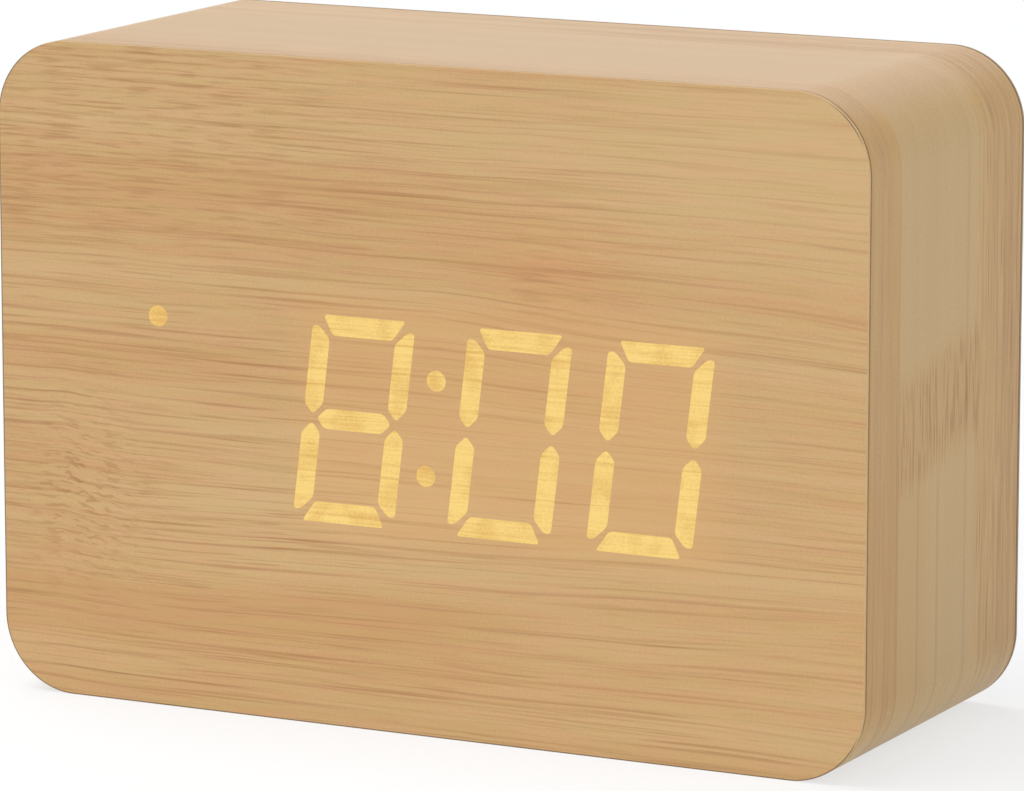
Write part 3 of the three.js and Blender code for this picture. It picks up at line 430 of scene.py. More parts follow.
half_digit, half_figure, half_bar = digit_width / 2, digit_height / 2, segment_width / 2
inner_x, inner_z = half_digit - segment_width, half_figure - segment_width
bar_gap, bar_cut = mm(0.3, 1.15)
top_bar = [
    (-inner_x + bar_gap, inner_z),
    (inner_x - bar_gap, inner_z),
    (half_digit - bar_cut, half_figure),
    (-half_digit + bar_cut, half_figure),
]
upright_cut, upright_lean, upright_foot, upright_tip = mm(1.2, 0.8, 1.55, 0.4)
left_upright = [
    (-half_digit, half_figure - upright_cut),
    (-half_digit, upright_foot),
    (-half_digit + half_bar, upright_tip),
    (-inner_x, upright_foot),
    (-inner_x, inner_z - upright_tip),
    (-half_digit + upright_lean, half_figure - upright_cut),
]
tip_x, shoulder_x = half_digit - 1.6 * MM, half_digit - 2.65 * MM
middle_bar = [
    (-tip_x, 0),
    (-shoulder_x, -half_bar),
    (shoulder_x, -half_bar),
    (tip_x, 0),
    (shoulder_x, half_bar),
    (-shoulder_x, half_bar),
]
# The outline of each segment, and 1 or -1 for the way it lies across and up.
segment_shapes = {
    "a": (top_bar, 1, 1),
    "b": (left_upright, -1, 1),
    "c": (left_upright, -1, -1),
    "d": (top_bar, 1, -1),
    "e": (left_upright, 1, -1),
    "f": (left_upright, 1, 1),
    "g": (middle_bar, 1, 1),
}
bar_depth = 1.0 * MM
bars = {}
for letter, (shape, side, rise) in segment_shapes.items():
    leaning = [(side * x + slant_share * rise * z, rise * z) for x, z in shape[:: side * rise]]
    bars[letter] = plate(f"bar_{letter}", leaning, 0, bar_depth)
    round_corners(bars[letter], corner_softness, 3)
lit_letters = ["", "abcdefg", "abcdef", "abcdef"]
colon_x, colon_rise, colon_radius = mm(1.3, 5.03, 1.1)
colon_dots = [
    (colon_x + slant_share * rise, digits_z + rise, colon_radius) for rise in (colon_rise, -colon_rise)
]
alarm_left, alarm_rise, alarm_radius = mm(7.22, 9.23, 1.13)
alarm_dot = (digit_middles[0] - alarm_left, digits_z + alarm_rise, alarm_radius)


def segment(digit, letter, near_y, far_y):
    """A copy of one bar in its place in the display, between two depths."""
    spot = (digit_middles[digit], near_y, digits_z)
    return copied(bars[letter], f"segment_{digit + 1}{letter}", spot, (far_y - near_y) / bar_depth)


def dot(x, z, radius, near_y, far_y):
    return rod("dot", (x, z), radius, near_y, far_y, sides=40)


def lit_areas(near_y, far_y):
    """Every lit segment and dot as plates between two depths."""
    plates = [
        segment(digit, letter, near_y, far_y)
        for digit, letters in enumerate(lit_letters)
        for letter in letters
    ]
    return plates + [dot(*spot, near_y, far_y) for spot in (*colon_dots, alarm_dot)]


def bamboo(finish, along, across, seed):
    """The printed bamboo: a tone from 0, warm, to 1, pale, then long lines, dashes and fine fibre."""
    waver = finish.noise(along * 0.035, across * 0.12, seed, 1.0) - 0.5
    across = across + waver * 1.3
    tone = finish.noise(along * 0.007, across * 0.16, seed + 3, 1.5).between(0.36, 0.64) * 0.55
    tone = tone + finish.noise(along * 0.02, across * 0.8, seed + 7, 2.0).between(0.3, 0.7) * 0.45
    long_line = finish.noise(along * 0.024, across * 2.4, seed + 11, 1.0).between(0.56, 0.72)
    dash = finish.noise(along * 0.1, across * 3.4, seed + 17, 1.0).between(0.54, 0.74)
    fibre = finish.noise(along * 0.16, across * 5.5, seed + 23, 2.0) - 0.5
    return tone, long_line, dash, fibre


film_seed = 1.5
film = Finish("bamboo_film")
x, y, z = film.place()
up = z - 35
slope_high = up.near(9, 13) * (x - 2).at_least(0) * 0.05
slope_low = up.near(-17, 13) * (x + 28).at_least(0) * -0.033
across = up + slope_high + slope_low
node_mask = x.near(-40, 11) * up.near(-13, 16)
fall = (x + 44).at_least(0).at_most(10) * 0.07 * up.near(-13, 18)
hook = x.near(-42.5, 3) * up.near(-12, 19) * -0.25
jag = (film.noise(x * 0.8, up * 1.1, 9.0, 1.0) - 0.5) * node_mask * 1.1
across = across + fall + hook
tone, long_line, dash, fibre = bamboo(film, x, across, film_seed)
leaning = across + jag + (x + 42) * 0.07
node_dash = film.noise(x * 0.42, leaning * 2.4, 41.0, 1.0).between(0.52, 0.64) * node_mask
upper_left = x.between(6, -30) * up.between(10, 20)
left = x.between(0, -30) * 0.25
pale_patch = x.between(6, 34) * up.between(12, 22) + x.near(-8, 30) * up.near(-11, 9)
pale_patch = pale_patch + x.between(-2, 18) * up.near(-24, 12) * 0.8
warm_patch = x.near(15, 13) * up.near(14, 9)
bands = across.near(21, 4) * x.between(14, -6) + across.near(3, 2.5) * x.between(-10, -26)
bands = bands + across.near(-24.5, 6) * (x.between(22, -6) * 0.85 + 0.2)
left_low = x.near(-44, 14) * up.near(-16, 9)
tone = tone * 0.75 + pale_patch * 0.4 - bands * 0.42 - warm_patch * 0.4 - left_low * 0.3 + 0.12
middle_low = x.near(-14, 14) * up.near(-16, 9)
dashes = dash * (left + 0.35 + middle_low * 0.6).at_most(1.0) + node_dash
hair_line = film.noise(x * 0.03, across * 3.1, 53.0, 1.0).between(0.54, 0.72)
short_dash = film.noise(x * 0.2, across * 2.7, 47.0, 1.5).between(0.5, 0.66)
dashes = dashes + short_dash * (upper_left * 0.65 + warm_patch * 0.5)
calm = x.between(8, 40) * up.between(6, 16) * 0.5 + node_mask * 0.8 + upper_left * 0.45
calm = calm + x.between(20, 36) * up.near(-4, 15) * 0.45 + x.between(-4, 20) * up.near(-20, 12) * 0.35
hair_line = hair_line * (x.between(16, -10) * 0.25 + 0.5)
lines = (long_line * 0.85 + hair_line) * (1 - calm) + dashes
speckle = film.noise(x, y, z, 2.0, 0.7, 3.2) - 0.5
film_pale, film_warm = (209, 174, 123), (200, 155, 102)
film_line = (173, 125, 76)
colour = film.mix(tone + fibre * 0.7 + speckle * 1.3, film_warm, film_pale)
tint = film.noise(x * 0.1, across * 0.7, 61.0, 2.0).between(0.36, 0.64)
colour = film.mix(warm_patch * 0.25, colour, (226, 160, 108))
colour = film.mix(tint * 0.14, colour, (197, 178, 112))
colour = film.mix((1 - tint) * 0.14, colour, (214, 158, 122))
colour = film.mix((lines * 0.6).at_most(0.9), colour, film_line)
# Painted light: the film round the lit digits is painted warmer, standing in for the glow of the segments.
glow = x.between(-17, -11) * x.between(37, 31) * up.between(-17, -12) * up.between(13, 8)
colour = film.mix(glow * 0.3, colour, (226, 172, 108))
# Painted shade: a thin dark line just inside the outline, on the left and underneath, where the rounded front
# edge turns away from the light; the top and the right side are left without it.
past_x = (abs(x) - flat_x / MM).at_least(0)
past_z = (abs(up) - flat_z / MM).at_least(0)
rim_start = corner_radius / MM - 0.16
painted_edge_shade = (past_x * past_x + past_z * past_z).math("SQRT").between(rim_start, rim_start + 0.08)
painted_edge_shade = painted_edge_shade * up.between(34.8, 32.5) * x.between(49.6, 48.5)
colour = film.mix(painted_edge_shade * 0.9, colour, (112, 92, 64))
film.set(
    Base_Color=colour,
    Roughness=0.5 + speckle * 0.12,
    Specular_IOR_Level=0.4,
    Normal=film.bump(speckle * 0.6 - lines * 0.4, 0.012 * MM),
)

lit = Finish("lit_film")
x, y, z = lit.place()
_, long_line, dash, fibre = bamboo(lit, x, z - 35, film_seed)
speckle = lit.noise(x, y, z, 2.0, 0.7, 3.2) - 0.5
cloud = lit.noise(x * 0.3, 0.0, z * 0.3, 1.0).between(0.42, 0.66)
weak_dot = x.near(1.3, 2.2) + x.near(-30, 3)
shade = long_line * 0.5 + dash * 0.3 + fibre * 1.2 - speckle * 1.2 + cloud * 0.4 + weak_dot * 0.35 + 0.1
lit.set(
    Base_Color=(0.02, 0.016, 0.01, 1),
    Roughness=0.5,
    Specular_IOR_Level=0.3,
    Emission_Color=lit.mix(shade, (249, 213, 124), (226, 178, 94)),
    Emission_Strength=0.96,
)

# The cut edge of the sheet is painted paler than the print: partly the foil's paler core, partly a painted
# highlight where the edge catches the light.
film_edge = Finish("film_cut_edge_and_highlight")
x, y, z = film_edge.place()
layers = film_edge.noise(x * 1.5, y * 8, z * 1.5)
film_edge.set(Base_Color=film_edge.mix(layers, (222, 194, 150), (205, 172, 126)), Roughness=0.6)

film_front = block("film_front", cad_low, (cad_high.x, film_far, cad_high.z))
round_corners(film_front, corner_radius, corner_steps)
overrun = 0.5 * MM
cut_away(film_front, joined("windows", lit_areas(film_near - overrun, film_far + overrun)))
give(film_front, film)
give(film_front, film_edge, lambda face: abs(face.normal.y) <= 0.5)
lit_film = joined("lit_film", lit_areas(film_near, film_far))
give(lit_film, lit)
film_front = joined("film_front", [film_front, lit_film])
finish_piece(film_front, "front_film", "front_film")


# The wrap film: one strip of the same foil, glued round the top, the sides and the underside, where
# its two ends meet in a butt seam. Its grain runs round the clock.
def shell_block(name, near_y, far_y, inset=0.0):
    """The rounded block of the whole clock between two depths, smaller by an inset all round."""
    made = slab(name, 0, cad_high.x - inset, near_y, far_y, cad_low.z + inset, cad_high.z - inset)
    round_corners(made, corner_radius - inset, corner_steps)
    return made


wrap_low, wrap_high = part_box("side_film")
wrap_setback, wrap_edge, seam_x, seam_gap = mm(0.3, 0.12, -20.0, 0.08)
wrap_near, wrap_far = wrap_low.y + wrap_setback, wrap_high.y
wrap = shell_block("film_wrap", wrap_near, wrap_far)
cutter_span = (wrap_near - overrun, wrap_far + overrun)
seam = slab("seam", seam_x, seam_gap / 2, *cutter_span, wrap_low.z - overrun, wrap_low.z + 2 * overrun)
cut_away(wrap, shell_block("inside", *cutter_span, film_thickness), seam)
for level in (wrap_near, wrap_far):
    bevel(wrap, wrap_edge, 2, rim_at(level))


def way_round(x, z):
    """How far a point of the wrap lies from the middle of the top, clockwise as seen in front."""
    rise = z - middle_z
    side = 1 if x > (0 if rise > 0 else seam_x) else -1
    core_x = max(-flat_x, min(flat_x, x))
    core_z = max(-flat_z, min(flat_z, rise))
    turned = math.atan2(abs(x - core_x), rise - core_z)
    passed = side * core_x if turned < math.pi / 2 else 2 * flat_x - side * core_x
    return side * (passed + flat_z - core_z + corner_radius * turned)


grain_map = wrap.data.uv_layers.new(name="grain")
for loop in wrap.data.loops:
    spot = wrap.data.vertices[loop.vertex_index].co
    grain_map.data[loop.index].uv = (way_round(spot.x, spot.z), spot.y)

foil = Finish("wrap_film")
x, y, z = foil.place()
grain = foil.node("ShaderNodeUVMap", {"uv_map": "grain"})
along = foil.node("ShaderNodeSeparateXYZ", {}, {}, grain, out=0) * 1000
depth = y + 20
right_side = x.between(40, 46)
painted_top_sheen = z.between(66, 69)
high_up = z.between(56, 67)
tone, long_line, dash, fibre = bamboo(foil, along, y * 1.2, 31.0)
front_strip = depth.between(8.5, 7.6)
rear_strip = depth.between(27.2, 28.4)
streaky = front_strip * 0.55 + rear_strip + 0.1
node_rise = z - 33.9 - (depth - 8) * 0.17
wrap_node = abs(node_rise).between(7.5, 3) * depth.between(7, 9) * depth.between(29.5, 28)
wrap_node = wrap_node * right_side
stroke = foil.noise(along * 0.13, y * 2.8 + z * 0.05, 3.0, 2.5, 0.6).between(0.49, 0.6) * wrap_node
foot = right_side * z.between(32, 26)
thin_line = depth.near(25.4, 0.4) * 0.3 + depth.near(7.9, 0.4) * 0.3
thin_line = thin_line + foot * (depth.near(13.2, 0.4) + depth.near(18.2, 0.4)) * 0.35
speckle = foil.noise(x, y, z, 2.0, 0.7, 3.2) - 0.5
warm_share = front_strip * (depth.near(6.4, 2) * 0.3 + 0.7) + rear_strip * 0.6 + wrap_node * 0.65
warm_share = warm_share + foot * depth.between(17, 13) * 0.4
colour = foil.mix(warm_share.at_most(1.0), (205, 173, 115), (201, 158, 90))
# Painted sheen: the top is painted paler and pinker, standing in for the soft reflection of the white
# surround at a grazing view.
colour = foil.mix(painted_top_sheen * 0.6, colour, (208, 176, 142))
# Painted light: the lower corners are painted paler, standing in for light thrown up from the floor.
colour = foil.mix(z.between(9, 1) * 0.9, colour, (217, 190, 126))
shade = (0.5 - tone) * (streaky * 0.6 + 0.05) + fibre * (streaky * 1.2 + 0.1) + speckle * 0.5 + 0.22
colour = foil.mix(shade.at_least(0), colour, (172, 122, 66))
lines = long_line * (front_strip * 0.4 + rear_strip * 0.5) + dash * rear_strip * 0.8 + thin_line
# The lines are also fainter high up and on the top, under the painted sheen.
lines = lines * (1 - high_up * 0.65) + stroke * 0.75
colour = foil.mix((lines * 0.8).at_most(0.85), colour, (156, 102, 36))
foil.set(
    Base_Color=colour,
    Roughness=0.42 + speckle * 0.12,
    Normal=foil.bump(speckle - lines * 0.3, 0.012 * MM),
)
finish_piece(wrap, "side_film", "side_film", foil)


# The rear film: a ring of the foil on the back edge of the fibreboard, cut out round the cover. Its
# faces other than the back one are painted darker brown, which shows as a thin line at the outline.
rear_low, rear_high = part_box("rear_film")
opening_side, opening_radius = mm(4.5, 4.0)
opening_z = (rear_low.z + opening_side, rear_high.z - opening_side)
rear_ring = shell_block("film_rear", rear_low.y, rear_high.y)
rear_span = (rear_low.y - overrun, rear_high.y + overrun)
opening = slab("opening", 0, rear_high.x - opening_side, *rear_span, *opening_z)
round_corners(opening, opening_radius, 12)
cut_away(rear_ring, opening)
foil = Finish("rear_film")
x, y, z = foil.place()
tone, long_line, dash, fibre = bamboo(foil, x, z, 57.0)
colour = foil.mix(tone, film_warm, film_pale)
colour = foil.mix((long_line * 0.6 + dash * 0.4).at_most(0.8), colour, film_line)
foil.set(
    Base_Color=foil.mix(y.between(19.99, 19.96) * 0.8, colour, (136, 114, 84)),
    Roughness=0.5 + fibre * 0.1,
    Specular_IOR_Level=0.4,
    Normal=foil.bump(fibre, 0.012 * MM),
)
finish_piece(rear_ring, "side_film", "rear_film", foil)


# The fibreboard: the frame and the thin front panel, pressed from fine brown wood fibre. Both keep
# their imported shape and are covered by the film.
def coat(finish, *names):
    """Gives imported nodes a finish."""
    for name in names:
        nodes[name].data.materials.clear()
        nodes[name].data.materials.append(finish.data)


fibreboard = Finish("fibreboard")
x, y, z = fibreboard.place()
clumps = fibreboard.noise(x, y, z, 4.0, 0.65, 1.1)
flecks = fibreboard.noise(x * 5, y * 1.6, z * 5, 2.0, 0.6)
colour = fibreboard.mix(clumps.between(0.3, 0.7), (126, 98, 68), (176, 146, 108))
fibreboard.set(
    Base_Color=fibreboard.mix(flecks.between(0.58, 0.74) * 0.5, colour, (92, 68, 46)),
    Roughness=0.86 + flecks * 0.1,
    Specular_IOR_Level=0.2,
    Normal=fibreboard.bump(clumps * 0.6 + flecks * 0.4, 0.06 * MM),
)
coat(fibreboard, "front_panel", "case_frame")


# The light guides: one clear, faintly milky moulding for each digit, with a pad behind the film for
# every segment and a thin web that ties the pads together; the colon and the dot have their own.
def milky(name, glow):
    made = Finish(name)
    x, y, z = made.place()
    haze = made.noise(x, y, z, 3.0, scale=0.6)
    return made.set(
        Base_Color=made.mix(haze, (246, 236, 208), (232, 214, 172)),
        Roughness=0.2 + haze * 0.2,
        Subsurface_Weight=0.3,
        Subsurface_Radius=(1, 0.9, 0.6),
        Subsurface_Scale=1.0 * MM,
        Coat_Weight=0.3,
        Emission_Color=made.mix(haze, (255, 214, 120), (248, 196, 92)),
        Emission_Strength=glow,
    )


guide_finish = milky("light_guide", 0.5)
dark_guide_finish = milky("unlit_light_guide", 0.0)
web_depth, web_thickness, pad_gap, web_margin, dot_web_margin = mm(4.0, 0.6, 0.05, 0.3, 0.4)
web_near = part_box("segment_mask")[0].y + web_depth
web_far = web_near + web_thickness
weld = 0.2 * MM  # how far two shapes reach into each other before they are made one
pad_near, pad_far = film_far + pad_gap, web_near + weld


def light_guide(name, web_outline, pads):
    """Joins pads to the web that ties them together."""
    made = plate(name + "_guide", web_outline, web_near, web_far)
    unite(made, joined("pads", pads))
    return made


half_x, half_z = half_digit + web_margin, half_figure + web_margin
corners = [(-half_x, -half_z), (half_x, -half_z), (half_x, half_z), (-half_x, half_z)]
outline = [(digit_middles[0] + x + slant_share * z, digits_z + z) for x, z in corners]
pads = [segment(0, letter, pad_near, pad_far) for letter in segment_shapes]
guides = {"digit_light_1": light_guide("digit_light_1", outline, pads)}
for number, middle in enumerate(digit_middles[1:], 2):
    name = f"digit_light_{number}"
    guides[name] = copied(guides["digit_light_1"], name + "_guide", (middle - digit_middles[0], 0, 0))
for name, dots in (("colon_light", colon_dots), ("alarm_dot_light", [alarm_dot])):
    (high_x, high_z, size), (low_x, low_z, size) = dots[0], dots[-1]
    reach = size + dot_web_margin
    outline = [(low_x + aside, low_z - reach) for aside in (-reach, reach)]
    outline += [(high_x + aside, high_z + reach) for aside in (reach, -reach)]
    guides[name] = light_guide(name, outline, [dot(*spot, pad_near, pad_far) for spot in dots])
for name, made in guides.items():
    finish = dark_guide_finish if name == "digit_light_1" else guide_finish
    finish_piece(made, "light_guide", name, finish)
for bar in bars.values():
    bpy.data.objects.remove(bar)


# The segment mask: matt black plastic with a channel for every segment, so that no light strays. It
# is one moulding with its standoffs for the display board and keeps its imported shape.
def moulded(name, dark, light, roughness, grain_size=0.25, depth=0.02, body=None):
    """A plastic with a spark-eroded grain; past the middle and half height of a body it is metal."""
    made = Finish(name)
    x, y, z = made.place()
    pits = made.noise(x, y, z, 3.0, 0.6, 1 / grain_size)
    flow = made.noise(x, y, z, scale=0.02 / grain_size)
    colour = made.mix(pits * 0.5 + flow * 0.5, dark, light)
    metal_share = abs(z - body[0] / MM).between(body[1], body[1] + 0.02) if body else flow * 0
    return made.set(
        Base_Color=made.mix(metal_share, colour, (196, 196, 190)),
        Metallic=metal_share,
        Roughness=roughness - metal_share * 0.25 + (pits - 0.5) * 0.2,
        Specular_IOR_Level=0.45,
        Normal=made.bump(pits, depth * MM),
    )


coat(moulded("mask_plastic", (26, 26, 28), (40, 40, 42), 0.7), "segment_mask")


# The circuit boards: glass-fibre laminate under green lacquer with fine tracks; the display board
# carries a small white light-emitting diode behind every segment.
def laminate(name, lamp_level):
    """A lacquered board whose lamps stand out in front of a level in millimetres."""
    made = Finish(name)
    x, y, z = made.place()
    weave = made.noise(x, y, z, 1.0, scale=6)
    lanes = made.noise(x * 0.22, y * 0.1, z * 0.9, 0.0).between(0.52, 0.56)
    cross_lanes = made.noise(x * 0.9, 4.0, z * 0.22, 0.0).between(0.54, 0.58)
    tracks = lanes.at_least(cross_lanes)
    lacquer = made.mix(tracks, (22, 74, 44), (38, 104, 62))
    lacquer = made.mix(weave * 0.25, lacquer, (60, 110, 70))
    lamp = y.between(lamp_level + 0.02, lamp_level - 0.02)
    return made.set(
        Base_Color=made.mix(lamp, lacquer, (238, 226, 178)),
        Roughness=0.35 + weave * 0.1,
        Coat_Weight=0.4,
        Normal=made.bump(tracks, 0.03 * MM),
    )


board_thickness = 1.2 * MM
board_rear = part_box("display_board")[1].y
out_of_reach = -90.0
coat(laminate("display_board_laminate", (board_rear - board_thickness) / MM), "display_board")
coat(laminate("button_board_laminate", out_of_reach), "button_board")


# Small parts soldered to the display board: the clock chip in black epoxy with tinned pins, the
# pressed steel can of the crystal, a sleeved capacitor and a round buzzer.
def metal(name, dark, light, roughness, stretch=(1.0, 1.0, 1.0)):
    """A metal with faint drawn streaks."""
    made = Finish(name)
    x, y, z = (part * share * 2.2 for part, share in zip(made.place(), stretch))
    streaks = made.noise(x, y, z, 4.0, 0.65)
    smudge = made.noise(x, y, z, scale=0.15)
    return made.set(
        Base_Color=made.mix(smudge, dark, light),
        Metallic=1.0,
        Roughness=roughness + (streaks - 0.5) * 0.25,
        Normal=made.bump(streaks, 0.006 * MM),
    )


chip_half = 3.77
epoxy = moulded("chip_epoxy", (30, 30, 31), (44, 43, 42), 0.6, 0.12, body=(digits_z, chip_half))
buzzer_plastic = moulded("buzzer_plastic", (24, 24, 26), (36, 36, 38), 0.5, 0.3)
can_steel = metal("can_steel", (168, 170, 172), (204, 206, 208), 0.28, (0.2, 1.0, 3.0))
coat(epoxy, "clock_chip")
coat(buzzer_plastic, "buzzer")
coat(can_steel, "crystal_can")
coat(moulded("capacitor_sleeve", (30, 36, 70), (40, 48, 88), 0.35, 0.8, 0.01), "capacitor")


# The back cover: one black moulding with a soft grain, let into the back. It has the battery tray
# with its collar, two bosses for the button board, and holes for the buttons, the inlet, the screws,
# the microphone and the buzzer.
cover_plastic = moulded("back_plastic", (24, 24, 26), (44, 44, 47), 0.5, 0.35, 0.035)
plate_half_x, plate_half_z = mm(45.2, 30.2)
cover_near, cover_far = mm(16.9, 19.1)
cover_corner, cover_edge = mm(3.7, 0.18)
collar_half, collar_near, collar_rise = mm(28.8, 15.1, 1.5)
cavity_floor_z = 6.95 * MM
door_half, door_top, door_near, door_gap = mm(27.3, 48.54, 17.6, 0.3)
tray_half, tray_wall, tray_floor = mm(26.0, 1.2, 6.4)
tray_bottom, tray_top = mm(14.04, 47.24)
lip_z = 8.45 * MM
tongue_x, tongue_half, pocket_near = mm(16.0, 4.0, 14.0)
button_z, button_pitch = mm(55.747, 12.0)
inlet_x, inlet_z = mm(35.2, 30.0)
screw_x, screw_rise = mm(38.8, 23.8)
boss_x, boss_near, boss_radius, boss_hole = mm(26.5, 9.9, 2.3, 1.1)
microphone_x, sound_x, sound_ring = mm(19.8, -36.0, 2.4)
cell_y, cell_radius = mm(11.9, 5.2)
cell_zs = mm(19.644, 30.644, 41.644)
slot_reach, slot_half_y, slot_half_z = mm(2.0, 1.8, 0.55)
behind = cover_far + overrun
cutter_start, cutter_end = mm(15.0, 20.0)

plate_z = (middle_z - plate_half_z, middle_z + plate_half_z)
cover = slab("cover_back", 0, plate_half_x, cover_near, cover_far, *plate_z)
round_corners(cover, cover_corner, 12)
rear_weld = cover_near + weld
collar_z = (cavity_floor_z + door_gap, door_top + collar_rise)
tray_z = (tray_bottom - tray_wall, tray_top + tray_wall)
unite(
    cover,
    slab("collar", 0, collar_half, collar_near, rear_weld, *collar_z),
    slab("tray", 0, tray_half + tray_wall, tray_floor - tray_wall, rear_weld, *tray_z),
    *(rod("boss", (x, button_z), boss_radius, boss_near, rear_weld) for x in (-boss_x, boss_x)),
)
cut_away(
    cover,
    slab("door_recess", 0, door_half + door_gap, door_near - door_gap, behind, lip_z, door_top + door_gap),
    slab("bay", 0, tray_half, tray_floor, behind, tray_bottom, tray_top),
)
pocket = (tongue_half + door_gap, pocket_near, door_near, cavity_floor_z, tray_z[0])
cut_away(cover, *(slab("tongue_pocket", x, *pocket) for x in (-tongue_x, tongue_x)))
for x, z in ((tray_half, cell_zs[0]), (-tray_half, cell_zs[2])):
    slot_y, slot_z = (cell_y - slot_half_y, cell_y + slot_half_y), (z - slot_half_z, z + slot_half_z)
    cut_away(cover, slab("tab_slot", x, slot_reach, *slot_y, *slot_z))
button_hole, inlet_hole, microphone_hole, sound_hole = mm(3.6, 3.3, 0.8, 0.6)
holes = [((x, button_z), button_hole) for x in (-button_pitch, 0, button_pitch)]
holes += [((inlet_x, inlet_z), inlet_hole), ((microphone_x, button_z), microphone_hole)]
holes.append(((sound_x, inlet_z), sound_hole))
for turn in range(6):
    angle = turn * math.pi / 3
    spot = (sound_x + sound_ring * math.cos(angle), inlet_z + sound_ring * math.sin(angle))
    holes.append((spot, sound_hole))
cut_away(cover, *(rod("hole", *hole, cutter_start, cutter_end) for hole in holes))
screw_hole, screw_pocket, screw_seat = mm(1.55, 2.7, 18.1)
screw_spots = [(x, middle_z + z) for z in (-screw_rise, screw_rise) for x in (-screw_x, screw_x)]
for spot in screw_spots:
    cut_away(cover, rod("screw_hole", spot, screw_hole, cutter_start, cutter_end))
    cut_away(cover, rod("screw_pocket", spot, screw_pocket, screw_seat, cutter_end))
boss_span = mm(8.0, 13.6)
cut_away(cover, *(rod("boss_hole", (x, button_z), boss_hole, *boss_span) for x in (-boss_x, boss_x)))
bevel(cover, cover_edge, 2, rim_at(cover_far))
finish_piece(cover, "back_plastic", "back_cover", cover_plastic)


# Screws: four hold the cover to the posts of the frame, four the display board to the mask and two
# the button board to its bosses. Each is rolled steel with a cross recess and a plain shank.
def screws(name, stands_for, spots, seat, side, head, head_height, shank, length, slot):
    """Pan-head screws along the depth whose heads rest at the seat and face to one side."""
    home_x, home_z = home = spots[0]
    top, point = seat + side * head_height, seat - side * length
    first = rod(name + "_1", home, head, *sorted((seat, top)))
    bevel(first, head_height * head_round, 4, rim_at(top))
    stem = rod("stem", home, shank, *sorted((seat + side * stem_weld, point)), sides=32)
    bevel(stem, shank * point_round, 2, rim_at(point))
    unite(first, stem)
    slot_y = sorted((top - side * slot_depth, top + side * overrun))
    for half_x, half_z in ((head * slot_share, slot / 2), (slot / 2, head * slot_share)):
        cut_away(first, slab("slot", home_x, half_x, *slot_y, home_z - half_z, home_z + half_z))
    copies = [
        copied(first, f"{name}_{number}", (x - home_x, 0, z - home_z))
        for number, (x, z) in enumerate(spots[1:], 2)
    ]
    for number, made in enumerate([first, *copies], 1):
        finish_piece(made, "steel", f"{stands_for}_{number}", screw_steel)


head_round, point_round, slot_share = 0.42, 0.3, 0.66
slot_depth, stem_weld = mm(0.6, 0.1)
small_screw = mm(1.9, 1.2, 0.8, 4.6, 0.5)
screw_steel = metal("screw_steel", (150, 152, 154), (192, 194, 196), 0.3)
button_board_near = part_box("button_board")[0].y
board_x, board_rise = mm(35.5, 14)
board_spots = [(x, digits_z + z) for z in (-board_rise, board_rise) for x in (-board_x, board_x)]
boss_spots = [(-boss_x, button_z), (boss_x, button_z)]
screws("screw_cover", "cover_screw", screw_spots, screw_seat, 1, *mm(2.4, 0.9, 1.25, 10.0, 0.7))
screws("screw_board", "board_screw", board_spots, board_rear, 1, *small_screw)
screws("screw_button_board", "button_board_screw", boss_spots, button_board_near, -1, *small_screw)


# The battery door: a black plate that swings out on its round lower edge. Two tongues reach behind
# the lip of the cover, and a springy latch finger with three ribs closes it at the top.
half_door = (cover_far - door_near) / 2
hinge_y, hinge_z = cover_far - half_door, 9.5 * MM
tongue_near, tip_far = mm(16.3, 17.3)
tongue_low, tip_low, tongue_high = (hinge_z + rise for rise in mm(-0.2, -2.25, 1.0))
latch_depth, latch_slot, door_edge, rib_edge = mm(8.0, 0.8, 0.15, 0.12)
rib_drop, rib_height, rib_pitch, rib_half_x, rib_half_z = mm(4.0, 0.3, 1.5, 4.5, 0.35)
rib_z, rib_top = door_top - rib_drop, cover_far + rib_height
door = slab("door_battery", 0, door_half, door_near, cover_far, hinge_z, door_top)
unite(door, rod("round_edge", (hinge_y, hinge_z), half_door, -door_half, door_half, axis="X"))
for x in (-tongue_x, tongue_x):
    unite(
        door,
        slab("tongue", x, tongue_half, tongue_near, door_near + weld, tongue_low, tongue_high),
        slab("tongue_tip", x, tongue_half, tongue_near, tip_far, tip_low, tongue_high),
    )
for low_x in mm(-6.8, 6.0):
    low = (low_x, door_near - overrun, door_top - latch_depth)
    cut_away(door, block("latch_slot", low, (low_x + latch_slot, behind, door_top + overrun)))
bevel(door, door_edge, 2, rim_at(cover_far))
for step in (-rib_pitch, 0, rib_pitch):
    rib_span = (rib_z + step - rib_half_z, rib_z + step + rib_half_z)
    rib = slab("rib", 0, rib_half_x, cover_far - weld, rib_top, *rib_span)
    bevel(rib, rib_edge, 2, rim_at(rib_top))
    unite(door, rib)
finish_piece(door, "back_plastic", "battery_door", cover_plastic, "door")


# The push buttons: dished caps of dark plastic, each held behind the cover by a flange and resting
# on the stem of a small switch.
def for_each_button(made, first_name):
    """Copies a piece of the up button, in the middle, to the set and the down button."""
    places = (("set", button_pitch), ("down", -button_pitch))
    return {"up": made} | {name: copied(made, f"{first_name}_{name}", (x, 0, 0)) for name, x in places}


button_plastic = moulded("button_plastic", (40, 40, 43), (56, 56, 60), 0.45, 0.4, 0.012)
spot = (0, button_z)
cap_radius, cap_low, cap_top, cap_edge = mm(3.3, 16.2, 19.9, 0.35)
dish_rim, dish_slope, dish_depth = mm(0.9, 1.1, 0.25)
flange, post = mm(4.4, 15.8, 16.7), mm(1.6, 14.5, 16.0)  # the radius, the front and the back of each
cap = rod("cap_up", spot, cap_radius, cap_low, cap_top, sides=64)
sink(cap, lambda face: face.normal.y > 0.9, (dish_rim, dish_slope), (0, -dish_depth, 0))
bevel(cap, cap_edge, 4, rim_at(cap_top, 60))
unite(cap, rod("flange", spot, *flange, sides=64), rod("post", spot, *post, sides=32))
for name, made in for_each_button(cap, "cap").items():
    finish_piece(made, "button_plastic", f"{name}_button", button_plastic, name)


